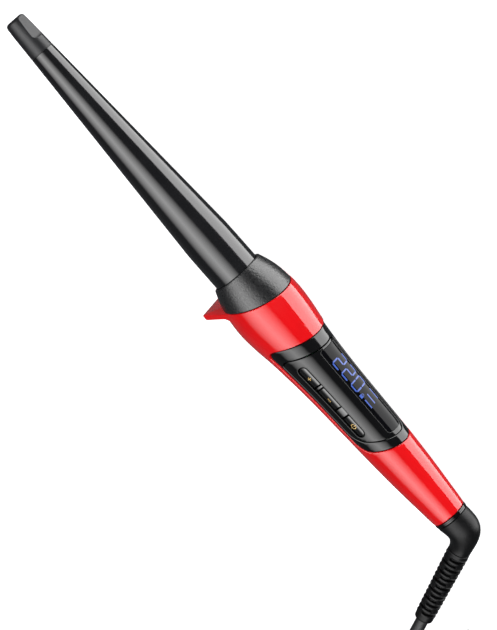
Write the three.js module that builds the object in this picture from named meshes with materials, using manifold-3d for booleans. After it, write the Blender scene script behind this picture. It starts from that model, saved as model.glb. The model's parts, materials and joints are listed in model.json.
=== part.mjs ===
// A conical curling wand: cool tip, heated barrel, red handle with a display and three buttons,
// and a mains lead on a swivelling elbow. It lies on its side on its heel rest. Millimetres, +Z up.
import * as THREE from "three";
import { mergeVertices } from "three/addons/utils/BufferGeometryUtils.js";
import Module from "manifold-3d";

const wasm = await Module();
wasm.setup();

// ---- Driving dimensions ----
// Wand coordinates: +X from the tip towards the handle with 0 at the collar's lip, +Z out of the display.
// Angles round the wand are in degrees from the display, positive towards the buttons (-Y).
const degree = Math.PI / 180;
const gap = 0.3; // between neighbouring pieces
const lathed = 32; // facets round the handle

const tip = { start: -162.5, end: -142.3, radius: 5.4, baseRadius: 6.3, spigot: 8, flatEnd: -149, flatHeight: 4.85 };
const barrel = { start: -142, shoulder: -22, end: 14, smallRadius: 6.4, radius: 12.5, wall: 1.5 };
const collar = { end: 26, bore: barrel.radius + gap, inside: 15.1, lip: 7 };
const rim = { x: 14.5, slope: 0.31 }; // the slanted joint between collar and handle
const shell = { end: 160, wall: 1.9, neckBore: 6.1, endWall: 5 };
const foot = { reach: 26.5, width: 23, edge: 2.7, root: { x: 14.2, z: -14, depth: 5 }, bodyRadius: 17.4 };
const panel = { front: 40.4, frontSlope: 0.46, rear: 109.3, rearSlope: 0.45, edge: 111.5, wall: 1.6 };
const panelCorners = { front: 3, rear: 6 };
const fascia = { front: 48.1, frontSlope: 0.42, rear: 102.3, rearSlope: 0.6, from: -28, to: 104 };
const fasciaCorners = { front: 4, rear: 6 };
const fasciaDepth = 0.4; // the fascia lies this far below the panel
const windowed = { front: 49.3, rear: 99.8, from: -18, to: 28, corners: { front: 1.5, rear: 1.5 } };
const slot = { start: 54.1, end: 100.6, width: 5.3, angle: 79 };
const button = { width: 4.5, recess: 0.45, foot: 10.1, cap: 11.3 };
const tray = { low: 9.9, floor: 10.5, recess: 0.95 };
const buttons = [
  { name: "plus", start: 54.6, end: 66.6 },
  { name: "minus", start: 69.1, end: 81.5 },
  { name: "power", start: 87.6, end: 100.1 },
];
const swivel = { start: shell.end + gap, end: 162, radius: 9.3, neck: 5.6, neckStart: 141 };
const elbow = { start: 162.3, radius: 9, endRadius: 5.7, bend: 65.5, bendRadius: 12, straight: 4.2, full: 7 };
const relief = { length: 46.6, radius: 5.7, endRadius: 4.8, ribs: 8, groove: 0.9 };
const cord = { radius: 3.25, facets: 8 };
const coil = { x: -244, y: 41, lift: 0.9, inner: 27, turnsPerLayer: 3.2917, layers: 2 };
const tie = { angle: 340, width: 8, thickness: 0.5 };
const plug = {
  at: [-264.71, 33.06, 20.79], turn: 30.02, width: 35.3, thickness: 13.7, neck: 18, body: 36, pin: 19, spacing: 18.6,
};

// How it lies: pitched until the handle's swell and its tail both touch, rolled on to the heel rest.
const pose = { pitch: 3.85, roll: 69.2, droop: 2.9 };
const datum = new THREE.Vector3(18.33, -16.24, 20.59); // the collar's lip, on the wand's axis

// Radius of the collar and of the handle along the wand.
const collarRadius = smoothProfile([
  [0, 13.85], [2.4, 14.8], [4.9, 15.75], [9.7, 17.15], [14.5, 18], [20, 18.45], [26, 18.6],
]);
const handleRadius = smoothProfile([
  [6, 16.5], [10, 17.4], [14.5, 18.15], [20, 18.7], [25, 18.9], [30.5, 18.6], [36.4, 18], [42, 17.2],
  [48, 16.45], [54, 15.9], [60, 15.35], [66, 14.9], [74, 14.4], [84, 13.95], [94, 13.55], [104, 13.15],
  [115, 12.7], [124, 12.2], [132, 11.7], [141, 11], [150, 10.2], [157, 9.6], [160, 9.2],
]);
const panelRadius = (x) => handleRadius(x) - THREE.MathUtils.mapLinear(clamp(x, 54, 104), 54, 104, 0.55, 0.12);

// ---- Materials ----
const plastic = (color, roughness) => new THREE.MeshStandardMaterial({ color, roughness, metalness: 0 });
const metal = (color, roughness) => new THREE.MeshStandardMaterial({ color, roughness, metalness: 1 });

// ---- Geometry helpers ----
function clamp(value, low, high) {
  return Math.min(Math.max(value, low), high);
}

// A smooth curve through points [x, r], as a function of x.
function smoothProfile(points) {
  const slopeAt = (i) => {
    const [a, b] = [points[Math.max(i - 1, 0)], points[Math.min(i + 1, points.length - 1)]];
    return (b[1] - a[1]) / (b[0] - a[0]);
  };
  return (x) => {
    const last = points.length - 2;
    const found = points.findIndex((point) => point[0] > x) - 1;
    const i = found < -1 ? last : clamp(found, 0, last);
    const [[x0, r0], [x1, r1]] = [points[i], points[i + 1]];
    const span = x1 - x0;
    const t = clamp((x - x0) / span, 0, 1);
    const h00 = (1 + 2 * t) * (1 - t) ** 2;
    const h10 = t * (1 - t) ** 2;
    const h01 = t * t * (3 - 2 * t);
    const h11 = t * t * (t - 1);
    return h00 * r0 + h10 * span * slopeAt(i) + h01 * r1 + h11 * span * slopeAt(i + 1);
  };
}

// Evenly spaced numbers from low to high, both included.
function steps(low, high, count) {
  return Array.from({ length: count + 1 }, (_, i) => low + ((high - low) * i) / count);
}

// A closed geometry as a manifold solid with its faces outwards.
function solidOf(geometry) {
  const bare = geometry.index ? geometry.toNonIndexed() : geometry.clone();
  bare.deleteAttribute("normal");
  bare.deleteAttribute("uv");
  const merged = mergeVertices(bare, 1e-4);
  const corners = merged.index.array;
  const triangles = [];
  for (let i = 0; i < corners.length; i += 3) {
    const [a, b, c] = corners.slice(i, i + 3);
    if (a !== b && b !== c && c !== a) triangles.push(a, b, c);
  }
  const build = (list) =>
    new wasm.Manifold(
      new wasm.Mesh({
        numProp: 3,
        vertProperties: merged.attributes.position.array,
        triVerts: new Uint32Array(list),
      }),
    );
  const solid = build(triangles);
  return solid.volume() > 0 ? solid : build(triangles.reverse());
}

function geometryOf(solid) {
  const { numProp, vertProperties, triVerts } = solid.getMesh();
  const positions = new Float32Array((vertProperties.length / numProp) * 3);
  for (let i = 0; i < positions.length / 3; i += 1) {
    positions.set(vertProperties.subarray(i * numProp, i * numProp + 3), i * 3);
  }
  const geometry = new THREE.BufferGeometry();
  geometry.setAttribute("position", new THREE.BufferAttribute(positions, 3));
  geometry.setIndex(new THREE.BufferAttribute(new Uint32Array(triVerts), 1));
  geometry.computeVertexNormals();
  return geometry;
}

// A named sub-part from a manifold solid.
function piece(name, solid, material) {
  const mesh = new THREE.Mesh(geometryOf(solid), material);
  mesh.name = name;
  return mesh;
}

// A profile of [x, r] points turned round the wand's axis.
function turned(profile, facets = lathed) {
  const geometry = new THREE.LatheGeometry(
    profile.map(([x, r]) => new THREE.Vector2(r, x)),
    facets,
  );
  return solidOf(geometry.rotateZ(-Math.PI / 2));
}

// A ring or tube between two profiles of [x, r] points that run the same way.
function tubular(outer, inner, facets = lathed) {
  return turned([...outer, ...inner.slice().reverse(), outer[0]], facets);
}

function block(size, centre) {
  return solidOf(new THREE.BoxGeometry(...size).translate(...centre));
}

// A cylinder along the wand.
function rod(radius, start, end, y = 0, z = 0, facets = 16) {
  const geometry = new THREE.CylinderGeometry(radius, radius, end - start, facets);
  return solidOf(geometry.rotateZ(-Math.PI / 2).translate((start + end) / 2, y, z));
}

// Everything on one side of the plane x = at + slope * z: side -1 is towards the tip, 1 the handle.
function beyondPlane(at, slope, side) {
  const size = 400;
  const geometry = new THREE.BoxGeometry(size, size, size).translate((side * size) / 2, 0, 0);
  return solidOf(geometry.rotateY(Math.atan(slope)).translate(at, 0, 0));
}

// A closed plate wrapped round the wand, with slanted ends and rounded corners.
function wrappedPlate({ outline, corners, inner, outer, grow = 0, along = 8, round = 14 }) {
  const girth = 14; // radius at which the corners are round
  const [from, to] = [outline.from - grow / girth / degree, outline.to + grow / girth / degree];
  const cut = (radius, e) => (e < radius ? radius - Math.sqrt(radius ** 2 - (radius - e) ** 2) : 0);
  const big = Math.max(corners.front, corners.rear);
  const small = Math.min(corners.front, corners.rear);
  const nearEdge = [...steps(0, 90, 3).map((a) => small * (1 - Math.cos(a * degree)))];
  const rest = steps(0, 90, 6).map((a) => big * (1 - Math.cos(a * degree)));
  const edgeArcs = [...nearEdge, ...rest.filter((e) => e > small + 0.2)];
  const edgeAngles = edgeArcs.map((e) => e / girth / degree);
  const last = edgeAngles[edgeAngles.length - 1];
  const middle = steps(from + last, to - last, round).slice(1, -1);
  const angles = [
    ...edgeAngles.map((a) => from + a),
    ...middle,
    ...edgeAngles.map((a) => to - a).reverse(),
  ];
  const shells = [outer, inner].map((radius) =>
    angles.map((angle) => {
      const arc = Math.min(angle - from, to - angle) * degree * girth;
      const height = Math.cos(angle * degree) * panelRadius((outline.front + outline.rear) / 2);
      const start = outline.front + outline.frontSlope * height - grow + cut(corners.front, arc);
      const end = outline.rear + outline.rearSlope * height + grow - cut(corners.rear, arc);
      return steps(start, end, along).map((x) => {
        const r = radius(x);
        return [x, -r * Math.sin(angle * degree), r * Math.cos(angle * degree)];
      });
    }),
  );
  const positions = [];
  const quad = (a, b, c, d) => positions.push(...a, ...b, ...c, ...a, ...c, ...d);
  const [top, bottom] = shells;
  for (let i = 0; i < angles.length - 1; i += 1) {
    for (let j = 0; j < along; j += 1) {
      quad(top[i][j], top[i][j + 1], top[i + 1][j + 1], top[i + 1][j]);
      quad(bottom[i][j], bottom[i + 1][j], bottom[i + 1][j + 1], bottom[i][j + 1]);
    }
    quad(top[i][0], top[i + 1][0], bottom[i + 1][0], bottom[i][0]);
    quad(top[i][along], bottom[i][along], bottom[i + 1][along], top[i + 1][along]);
  }
  const end = angles.length - 1;
  for (let j = 0; j < along; j += 1) {
    quad(top[0][j], bottom[0][j], bottom[0][j + 1], top[0][j + 1]);
    quad(top[end][j], top[end][j + 1], bottom[end][j + 1], bottom[end][j]);
  }
  const geometry = new THREE.BufferGeometry();
  geometry.setAttribute("position", new THREE.Float32BufferAttribute(positions, 3));
  return solidOf(geometry);
}

// A bar with round ends along the wand, standing on radius low and reaching high, at an angle round it.
function pill(start, end, width, low, high, angle) {
  const r = width / 2;
  const shape = new THREE.Shape();
  shape.absarc(end - r, 0, r, -Math.PI / 2, Math.PI / 2);
  shape.absarc(start + r, 0, r, Math.PI / 2, Math.PI * 1.5);
  const geometry = new THREE.ExtrudeGeometry(shape, {
    depth: high - low,
    bevelEnabled: false,
    curveSegments: 6,
  });
  return solidOf(geometry.translate(0, 0, low).rotateX(angle * degree));
}

// ---- Barrel end ----
function coolTip() {
  const r = tip.radius;
  const profile = [
    [tip.start, 0], [tip.start, r - 2], [tip.start + 0.6, r - 0.6], [tip.start + 2, r],
    [tip.end, tip.baseRadius], [tip.end, 4.4], [tip.end + tip.spigot, 4.4], [tip.end + tip.spigot, 0],
  ];
  let body = turned(profile, 24);
  const flatLength = tip.flatEnd - tip.start + 1;
  for (const side of [1, -1]) {
    const cut = block([flatLength, 14, 4], [tip.flatEnd - flatLength / 2, 0, side * (tip.flatHeight + 2)]);
    body = body.subtract(cut);
  }
  return piece("cool_tip", body, plastic(0x2b2c2e, 0.6));
}

const barrelOutside = (x) =>
  x < barrel.shoulder
    ? THREE.MathUtils.mapLinear(x, barrel.start, barrel.shoulder, barrel.smallRadius, barrel.radius - 0.1)
    : barrel.radius;

function heatedBarrel() {
  const stations = [barrel.start, -100, -60, barrel.shoulder, 0, barrel.end];
  const outer = stations.map((x) => [x, barrelOutside(x)]);
  const inner = stations.map((x) => [x, barrelOutside(x) - barrel.wall]);
  return piece("barrel", tubular(outer, inner), plastic(0x1b1b1d, 0.28));
}

function heaterPieces() {
  const [start, end] = [-120, -16];
  const slotWidth = 6.6;
  const slotHeight = 2.2;
  const cone = turned(
    [
      [start, 0], [start, barrelOutside(start) - barrel.wall - gap],
      [end, barrelOutside(end) - barrel.wall - gap], [end, 0],
    ],
    24,
  );
  const middle = (start + end) / 2;
  const core = cone.subtract(block([end - start + 10, slotWidth, slotHeight], [middle, 0, 0]));
  const plate = block([end - start - 4, slotWidth - 2 * gap, slotHeight - 2 * gap], [middle, 0, 0]);
  return [
    piece("heater_core", core, metal(0xb8bcc0, 0.45)),
    piece("heater_plate", plate, plastic(0xe9e6dc, 0.5)),
    piece("temperature_sensor", rod(1.3, -15, -9, 0, 5, 10), plastic(0xc9a86a, 0.4)),
    piece("thermal_fuse", rod(1.7, -6, 5, 0, -5, 10), metal(0xc8c8c8, 0.35)),
  ];
}

function barrelSocket() {
  const outer = [[8, 14.7], [27, 14.7], [27, 16.3], [30, 16.3]];
  const inner = [[8, 12.8], [14.3, 12.8], [14.3, 7], [30, 7]];
  return piece("barrel_socket", tubular(outer, inner, 32), plastic(0x8d8478, 0.7));
}

function collarPiece() {
  const outer = steps(0, collar.end, 9).map((x) => [x, collarRadius(x)]);
  const inner = [
    [0, collar.bore], [collar.lip, collar.bore], [collar.lip + 0.4, collar.inside],
    [collar.end, collar.inside],
  ];
  const body = tubular(outer, inner).subtract(beyondPlane(rim.x - gap, rim.slope, 1));
  return piece("collar", body, plastic(0x1d1d1f, 0.55));
}

// ---- Handle ----
function heelRest() {
  const { reach, width, edge, root, bodyRadius } = foot;
  const front = new THREE.Shape();
  const cornerAngle = Math.atan2(width / 2, reach);
  const tangent = cornerAngle + Math.acos(bodyRadius / Math.hypot(width / 2, reach));
  const side = [Math.sin(tangent) * bodyRadius, -Math.cos(tangent) * bodyRadius];
  front.moveTo(-side[0], side[1]);
  front.lineTo(-width / 2, -reach + 1.2);
  front.lineTo(-width / 2 + 1, -reach);
  front.lineTo(width / 2 - 1, -reach);
  front.lineTo(width / 2, -reach + 1.2);
  front.lineTo(...side);
  const plan = new THREE.ExtrudeGeometry(front, { depth: 40, bevelEnabled: false });
  plan.rotateY(Math.PI / 2).rotateX(Math.PI / 2);
  const frontX = (z) => rim.x + rim.slope * z;
  const profile = new THREE.Shape();
  profile.moveTo(frontX(-reach - 1), -reach - 1);
  profile.lineTo(frontX(-reach) + edge, -reach - 1);
  profile.lineTo(frontX(-reach) + edge, -reach);
  profile.lineTo(root.x, root.z);
  profile.lineTo(frontX(0) + root.depth, 0);
  profile.lineTo(frontX(0), 0);
  const wedge = new THREE.ExtrudeGeometry(profile, { depth: 60, bevelEnabled: false });
  wedge.rotateX(Math.PI / 2).translate(0, 30, 0);
  return solidOf(plan).intersect(solidOf(wedge));
}

function handleShell() {
  const outer = [...steps(6, 150, 16), 157, shell.end].map((x) => [x, handleRadius(x)]);
  const inside = (x) => handleRadius(x) - shell.wall;
  const hollowEnd = shell.end - shell.endWall;
  const hollow = steps(5, hollowEnd, 8).map((x) => [x, inside(x)]);
  const cavity = turned([[5, 0], ...hollow, [hollowEnd, 0]]);
  const outside = turned([[6, 0], ...outer, [shell.end, 0]]);
  const opening = wrappedPlate({
    outline: { ...panel, from: -panel.edge, to: panel.edge },
    corners: panelCorners,
    inner: (x) => handleRadius(x) - 4,
    outer: (x) => handleRadius(x) + 3,
    grow: gap,
  });
  const body = outside
    .add(heelRest())
    .subtract(cavity)
    .subtract(beyondPlane(rim.x, rim.slope, -1))
    .subtract(opening)
    .subtract(rod(shell.neckBore, hollowEnd - 1, shell.end + 1, 0, 0, 24));
  return piece("handle_shell", body, plastic(0xd8131b, 0.22));
}

// ---- Control panel ----
const slotCutter = () => pill(slot.start, slot.end, slot.width, 8, 22, slot.angle);

function panelPieces() {
  const seat = (x) => panelRadius(x) - fasciaDepth;
  const fasciaOpening = wrappedPlate({
    outline: fascia,
    corners: fasciaCorners,
    inner: (x) => seat(x) - 4,
    outer: (x) => seat(x) + 3,
    grow: gap,
  });
  const surround = wrappedPlate({
    outline: { ...panel, from: -panel.edge, to: panel.edge },
    corners: panelCorners,
    inner: (x) => panelRadius(x) - panel.wall,
    outer: panelRadius,
    along: 10,
    round: 20,
  }).subtract(fasciaOpening);
  const windowOutline = {
    ...fascia,
    front: windowed.front,
    rear: windowed.rear,
    from: windowed.from,
    to: windowed.to,
  };
  const windowOpening = wrappedPlate({
    outline: windowOutline,
    corners: windowed.corners,
    inner: (x) => seat(x) - 4,
    outer: (x) => seat(x) + 3,
    grow: gap,
    along: 6,
    round: 8,
  });
  const face = wrappedPlate({
    outline: fascia,
    corners: fasciaCorners,
    inner: (x) => seat(x) - 1.2,
    outer: seat,
  })
    .subtract(windowOpening)
    .subtract(slotCutter());
  const pane = wrappedPlate({
    outline: windowOutline,
    corners: windowed.corners,
    inner: (x) => seat(x) - 1.1,
    outer: seat,
    along: 6,
    round: 8,
  });
  return [
    piece("control_panel", surround, plastic(0x0f0f10, 0.15)),
    piece("control_fascia", face, plastic(0x111113, 0.12)),
    piece("display_window", pane, plastic(0x18181c, 0.05)),
  ];
}

// The tray fills the slot between the buttons and carries them.
function buttonTray() {
  const top = turned([[50, 0], ...steps(50, 108, 8).map((x) => [x, panelRadius(x) - tray.recess]), [108, 0]]);
  const blank = pill(slot.start + gap, slot.end - gap, slot.width - 2 * gap, tray.low, 20, slot.angle);
  let body = blank.intersect(top);
  for (const { start, end } of buttons) {
    body = body.subtract(slab(start - gap, end + gap, slot.width + 2, tray.floor, 20));
    body = body.subtract(slab(start + 1.5 - gap, end - 1.5 + gap, 2.6 + 2 * gap, 5, 20));
  }
  return piece("button_tray", body, plastic(0x101012, 0.35));
}

// A box along the wand under the slot.
function slab(start, end, width, low, high) {
  const geometry = new THREE.BoxGeometry(end - start, width, high - low);
  geometry.translate((start + end) / 2, 0, (low + high) / 2);
  return solidOf(geometry.rotateX(slot.angle * degree));
}

function buttonPieces() {
  const skin = turned([
    [50, 0],
    ...steps(50, 108, 10).map((x) => [x, panelRadius(x) - fasciaDepth - button.recess]),
    [108, 0],
  ]);
  const inSlot = pill(slot.start + 0.4, slot.end - 0.4, button.width, button.foot, 20, slot.angle);
  return buttons.map(({ name, start, end }) => {
    const cap = slab(start, end, button.width, button.cap, 20).intersect(skin).intersect(inSlot);
    const stem = slab(start + 1.5, end - 1.5, 2.6, button.foot, button.cap + 0.3);
    return piece(name + "_button", cap.add(stem), plastic(0x141416, 0.25));
  });
}

// ---- Inside the handle ----
const screwPlaces = [
  { name: "front", x: 58 },
  { name: "rear", x: 114 },
];

// A cylinder across the wand, beside its axis, where the chassis screws go.
function upright(radius, x, z, height) {
  const geometry = new THREE.CylinderGeometry(radius, radius, height, 12).rotateX(Math.PI / 2);
  return solidOf(geometry.translate(x, 2, z));
}

function electronics() {
  const blank = block([74, 10.5, 1.6], [86, 2.6, -1.4]);
  const board = screwPlaces.reduce((plate, { x }) => plate.subtract(upright(1.6, x, -1.4, 10)), blank);
  const side = slab(54, 104, 8.4, 4.2, 5.4);
  const display = block([44, 9.4, 2.4], [82, 0, 8.4]);
  const triac = block([4.6, 8, 6], [105, 3, 2.7]);
  const switches = buttons.map(({ name, start, end }) => {
    const middle = (start + end) / 2;
    const body = slab(middle - 3, middle + 3, 6, 5.7, 8.4);
    const plunger = slab(middle - 1.4, middle + 1.4, 2.8, 8, 9.1);
    return piece(name + "_switch", body.add(plunger), plastic(0x3a3a3c, 0.5));
  });
  return [
    piece("control_board", board, plastic(0x1c5a38, 0.5)),
    piece("button_board", side, plastic(0x1c5a38, 0.5)),
    piece("display_module", display, plastic(0x2a2a2e, 0.4)),
    piece("triac", triac, plastic(0x202022, 0.5)),
    ...switches,
  ];
}

function chassisPieces() {
  const [start, end] = [33, 128];
  const middle = (start + end) / 2;
  const length = end - start;
  let chassis = block([length, 12, 1.6], [middle, 0, -7]);
  for (const side of [1, -1]) {
    chassis = chassis.add(block([length, 1.2, 4], [middle, side * 5.4, -5.8]));
  }
  const screws = screwPlaces.map(({ name, x }) => {
    chassis = chassis.add(upright(2.4, x, -4.6, 3.8)).subtract(upright(1.2 + gap, x, 0, 20));
    const screw = upright(1.2, x, -2.3, 6).add(upright(2.2, x, 0.4, 1.2));
    return piece("chassis_screw_" + name, screw, metal(0xb9bcc2, 0.3));
  });
  return [piece("inner_chassis", chassis, plastic(0x4a4a4d, 0.6)), ...screws];
}

// Two leads from the heater through the socket to the board.
function heaterLeads() {
  return [1, -1].map((side) => {
    const name = side > 0 ? "heater_lead_live" : "heater_lead_neutral";
    const curve = new THREE.CatmullRomCurve3([
      new THREE.Vector3(-15.6, side * 1.8, 0),
      new THREE.Vector3(0, side * 2.2, 0.4),
      new THREE.Vector3(25, side * 2.4 + 1, 2.4),
      new THREE.Vector3(48.7, side * 2 + 2.6, -1.4),
    ]);
    const circle = new THREE.Shape().absarc(0, 0, 0.9, 0, Math.PI * 2);
    const geometry = new THREE.ExtrudeGeometry(circle, {
      steps: 10,
      curveSegments: 4,
      extrudePath: curve,
    });
    return piece(name, solidOf(geometry), plastic(side > 0 ? 0x8a3b22 : 0x2b4c8a, 0.5));
  });
}

// ---- Swivel and lead outlet ----
function swivelPieces() {
  const ring = tubular(
    [[swivel.start, swivel.radius], [swivel.end, swivel.radius - 0.1]],
    [[swivel.start, shell.neckBore], [swivel.end, shell.neckBore]],
    32,
  );
  const brushes = [143.2, 148.2].map((x, i) =>
    piece(i ? "brush_neutral" : "brush_live", block([1.6, 2.6, 0.8], [x + 1.2, 0, 7.7]), metal(0xb98b45, 0.3)),
  );
  return [piece("swivel_ring", ring, plastic(0x202022, 0.35)), ...brushes];
}

// The elbow's centreline at a distance s from its face, in coordinates that bend towards -Y.
function elbowPoint(s) {
  const along = s - elbow.straight;
  const arc = elbow.bend * degree * elbow.bendRadius;
  const angle = clamp(along / elbow.bendRadius, 0, elbow.bend * degree);
  const beyond = Math.max(along - arc, 0);
  const before = Math.min(along, 0);
  const x = elbow.start + elbow.straight + before + elbow.bendRadius * Math.sin(angle);
  const y = -elbow.bendRadius * (1 - Math.cos(angle));
  const forward = new THREE.Vector3(Math.cos(angle), -Math.sin(angle), 0);
  return { point: new THREE.Vector3(x, y, 0).addScaledVector(forward, beyond), forward };
}

// Bends what was turned round the X axis so that its X follows the elbow's centreline.
function bent(geometry) {
  const position = geometry.attributes.position;
  const up = new THREE.Vector3(0, 0, 1);
  for (let i = 0; i < position.count; i += 1) {
    const { point, forward } = elbowPoint(position.getX(i));
    const across = new THREE.Vector3().crossVectors(up, forward);
    point.addScaledVector(across, position.getY(i)).addScaledVector(up, position.getZ(i));
    position.setXYZ(i, point.x, point.y, point.z);
  }
  return geometry;
}

const bendLength = elbow.straight + elbow.bend * degree * elbow.bendRadius;

function outletPieces() {
  const elbowRadius = (s) => {
    const t = THREE.MathUtils.smoothstep(s, elbow.full, bendLength);
    return elbow.radius + (elbow.endRadius - elbow.radius) * t;
  };
  const neckStart = swivel.neckStart - elbow.start;
  const profile = [
    [neckStart, 0], [neckStart, swivel.neck], [-0.01, swivel.neck],
    ...steps(0, bendLength, 10).map((s) => [s, elbowRadius(s)]),
    [bendLength, 0],
  ];
  const lathe = new THREE.LatheGeometry(profile.map(([s, r]) => new THREE.Vector2(r, s)), 20);
  const elbowBody = solidOf(bent(lathe.rotateZ(-Math.PI / 2)));
  const [start, end] = [bendLength + gap, bendLength + relief.length];
  const pitch = (end - start) / relief.ribs;
  const sleeve = [[start, 0]];
  for (let rib = 0; rib < relief.ribs; rib += 1) {
    const x = start + rib * pitch;
    const r = THREE.MathUtils.mapLinear(rib, 0, relief.ribs - 1, relief.radius, relief.endRadius);
    sleeve.push([x, r], [x + pitch * 0.66, r], [x + pitch * 0.7, r - relief.groove]);
    sleeve.push([x + pitch * 0.96, r - relief.groove]);
  }
  sleeve.push([end, relief.endRadius], [end, 0]);
  const sleeveLathe = new THREE.LatheGeometry(sleeve.map(([s, r]) => new THREE.Vector2(r, s)), 12);
  const sleeveBody = solidOf(bent(sleeveLathe.rotateZ(-Math.PI / 2)));
  const rings = [143.2, 148.2].map((x, i) => {
    const ring = tubular(
      [[x, swivel.neck + gap + 1], [x + 2.4, swivel.neck + gap + 1]],
      [[x, swivel.neck + gap], [x + 2.4, swivel.neck + gap]],
      24,
    );
    return piece(i ? "slip_ring_neutral" : "slip_ring_live", ring, metal(0xc9a24a, 0.3));
  });
  return [
    piece("cord_elbow", elbowBody, plastic(0x1a1a1c, 0.5)),
    piece("strain_relief", sleeveBody, plastic(0x1a1a1c, 0.5)),
    ...rings,
  ];
}

// ---- Mains lead, lying on the surface ----
// The stretch from the strain relief to the coil, and the one up over the coil to the plug on it.
const leadRoute = [
  [-177.93, 33.4, 4.86], [-179.86, 37.67, 4.51], [-183.2, 45.2, 3.95], [-187.4, 53.6, 3.45],
  [-192.5, 61.4, 3.3], [-198.6, 68, 3.4], [-205.6, 73.7, 3.8], [-212.89, 78.08, 4.15],
];
const tailRoute = [
  [-209.2, 74.63, 10.65], [-215.62, 80.1, 11.71], [-223.23, 83.64, 14.06], [-231.53, 84.56, 16.18],
  [-239.53, 83.72, 17.06], [-246.94, 82.79, 17.15], [-254.82, 81.07, 17.15], [-261.89, 77.17, 17.15],
  [-267.55, 71.42, 17.15], [-271.34, 64.3, 17.72], [-272.93, 56.39, 18.97], [-272.21, 48.35, 20.22],
  [-269.22, 40.85, 20.79], [-266.22, 35.66, 20.79], [-264.86, 33.32, 20.79],
];

// The ring that the coil fills, made larger by grow on every side.
function coilRing(grow) {
  const r = cord.radius + grow;
  const inside = coil.inner - r;
  const outside = coil.inner + 2 * cord.radius * coil.turnsPerLayer + r;
  const low = coil.lift - grow;
  const high = coil.lift + 2 * cord.radius * coil.layers + grow;
  const bevel = 1.6;
  const profile = [
    [inside, low + bevel], [inside + bevel, low], [outside - bevel, low], [outside, low + bevel],
    [outside, high - bevel], [outside - bevel, high], [inside + bevel, high], [inside, high - bevel],
    [inside, low + bevel],
  ];
  const ring = new THREE.LatheGeometry(profile.map(([r, z]) => new THREE.Vector2(r, z)), 32);
  return solidOf(ring.rotateX(Math.PI / 2).translate(coil.x, coil.y, 0));
}

function cordTube(name, route, stepCount) {
  const path = new THREE.CatmullRomCurve3(route.map((point) => new THREE.Vector3(...point)));
  const circle = new THREE.Shape(
    steps(0, 360, cord.facets)
      .slice(1)
      .map((a) => new THREE.Vector2(cord.radius * Math.cos(a * degree), cord.radius * Math.sin(a * degree))),
  );
  const geometry = new THREE.ExtrudeGeometry(circle, { steps: stepCount, extrudePath: path });
  return piece(name, solidOf(geometry).subtract(coilRing(gap)), plastic(0x18181a, 0.5));
}

function coilTie() {
  const inside = coil.inner - cord.radius - gap;
  const outside = coil.inner + 2 * cord.radius * coil.turnsPerLayer + cord.radius + gap;
  const top = coil.lift + 2 * cord.radius * coil.layers + gap;
  const low = coil.lift - gap;
  const t = tie.thickness;
  const box = (x0, x1, z0, z1, width) => {
    const geometry = new THREE.BoxGeometry(x1 - x0, width, z1 - z0);
    geometry.translate((x0 + x1) / 2, 0, (z0 + z1) / 2).rotateZ(tie.angle * degree);
    return solidOf(geometry.translate(coil.x, coil.y, 0));
  };
  const bow = 0.4; // the ring bulges this much across the tie's width
  const band = box(inside - t - bow, outside + t, low - t, top + t, tie.width);
  return piece("cord_tie", band.subtract(box(inside - bow, outside, low, top, 20)), plastic(0x111112, 0.6));
}

// A flat two-pin mains plug, lying on the coil; built pointing towards -Y from its cable end.
function plugPieces() {
  const { at, turn, width, thickness, neck, body, pin, spacing } = plug;
  const outline = new THREE.Shape();
  const back = -neck;
  outline.moveTo(-6, back);
  outline.quadraticCurveTo(-width / 2 + 1, back - 3, -width / 2 + 1, back - 16);
  outline.lineTo(-width / 2, back - body + 4);
  outline.lineTo(-width / 2 + 1.5, back - body);
  outline.lineTo(width / 2 - 1.5, back - body);
  outline.lineTo(width / 2, back - body + 4);
  outline.lineTo(width / 2 - 1, back - 16);
  outline.quadraticCurveTo(width / 2 - 1, back - 3, 6, back);
  const bevel = 1.5;
  const slabGeometry = new THREE.ExtrudeGeometry(outline, {
    depth: thickness - 2 * bevel,
    bevelThickness: bevel,
    bevelSize: bevel,
    bevelOffset: -bevel,
    bevelSegments: 1,
    curveSegments: 6,
  });
  slabGeometry.translate(0, 0, -thickness / 2 + bevel);
  const neckGeometry = new THREE.CylinderGeometry(4, 5.2, neck + 2, 16).translate(0, -neck / 2 - 1, 0);
  const placed = (solid) => solid.rotate([0, 0, turn]).translate(at);
  const shell = placed(solidOf(slabGeometry).add(solidOf(neckGeometry)));
  const face = back - body - gap;
  const pins = [-1, 1].map((side) => {
    const geometry = new THREE.CylinderGeometry(2, 2, pin, 12);
    geometry.translate((side * spacing) / 2, face - pin / 2, 0);
    return piece(side < 0 ? "plug_pin_a" : "plug_pin_b", placed(solidOf(geometry)), metal(0xd2d4d8, 0.2));
  });
  return [piece("plug_body", shell, plastic(0x161618, 0.45)), ...pins];
}

// ---- Assembly ----
const wand = new THREE.Group();
wand.add(
  coolTip(),
  heatedBarrel(),
  ...heaterPieces(),
  barrelSocket(),
  collarPiece(),
  handleShell(),
  ...panelPieces(),
  buttonTray(),
  ...buttonPieces(),
  ...electronics(),
  ...chassisPieces(),
  ...heaterLeads(),
  ...swivelPieces(),
);
const outlet = new THREE.Group();
outlet.add(...outletPieces());
for (const [group, roll] of [[wand, -pose.roll], [outlet, pose.droop]]) {
  group.rotation.order = "ZYX";
  group.rotation.set(roll * degree, 0, 0);
}
const resting = new THREE.Group();
resting.add(wand, outlet);
resting.rotation.order = "ZYX";
resting.rotation.set(0, pose.pitch * degree, Math.PI);
resting.position.copy(datum);

const curlingWand = new THREE.Group();
curlingWand.add(
  resting,
  cordTube("cord", leadRoute, 10),
  cordTube("cord_tail", tailRoute, 14),
  piece("cord_coil", coilRing(0), plastic(0x18181a, 0.5)),
  coilTie(),
  ...plugPieces(),
);

export default curlingWand;
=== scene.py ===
import json
import math

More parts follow.
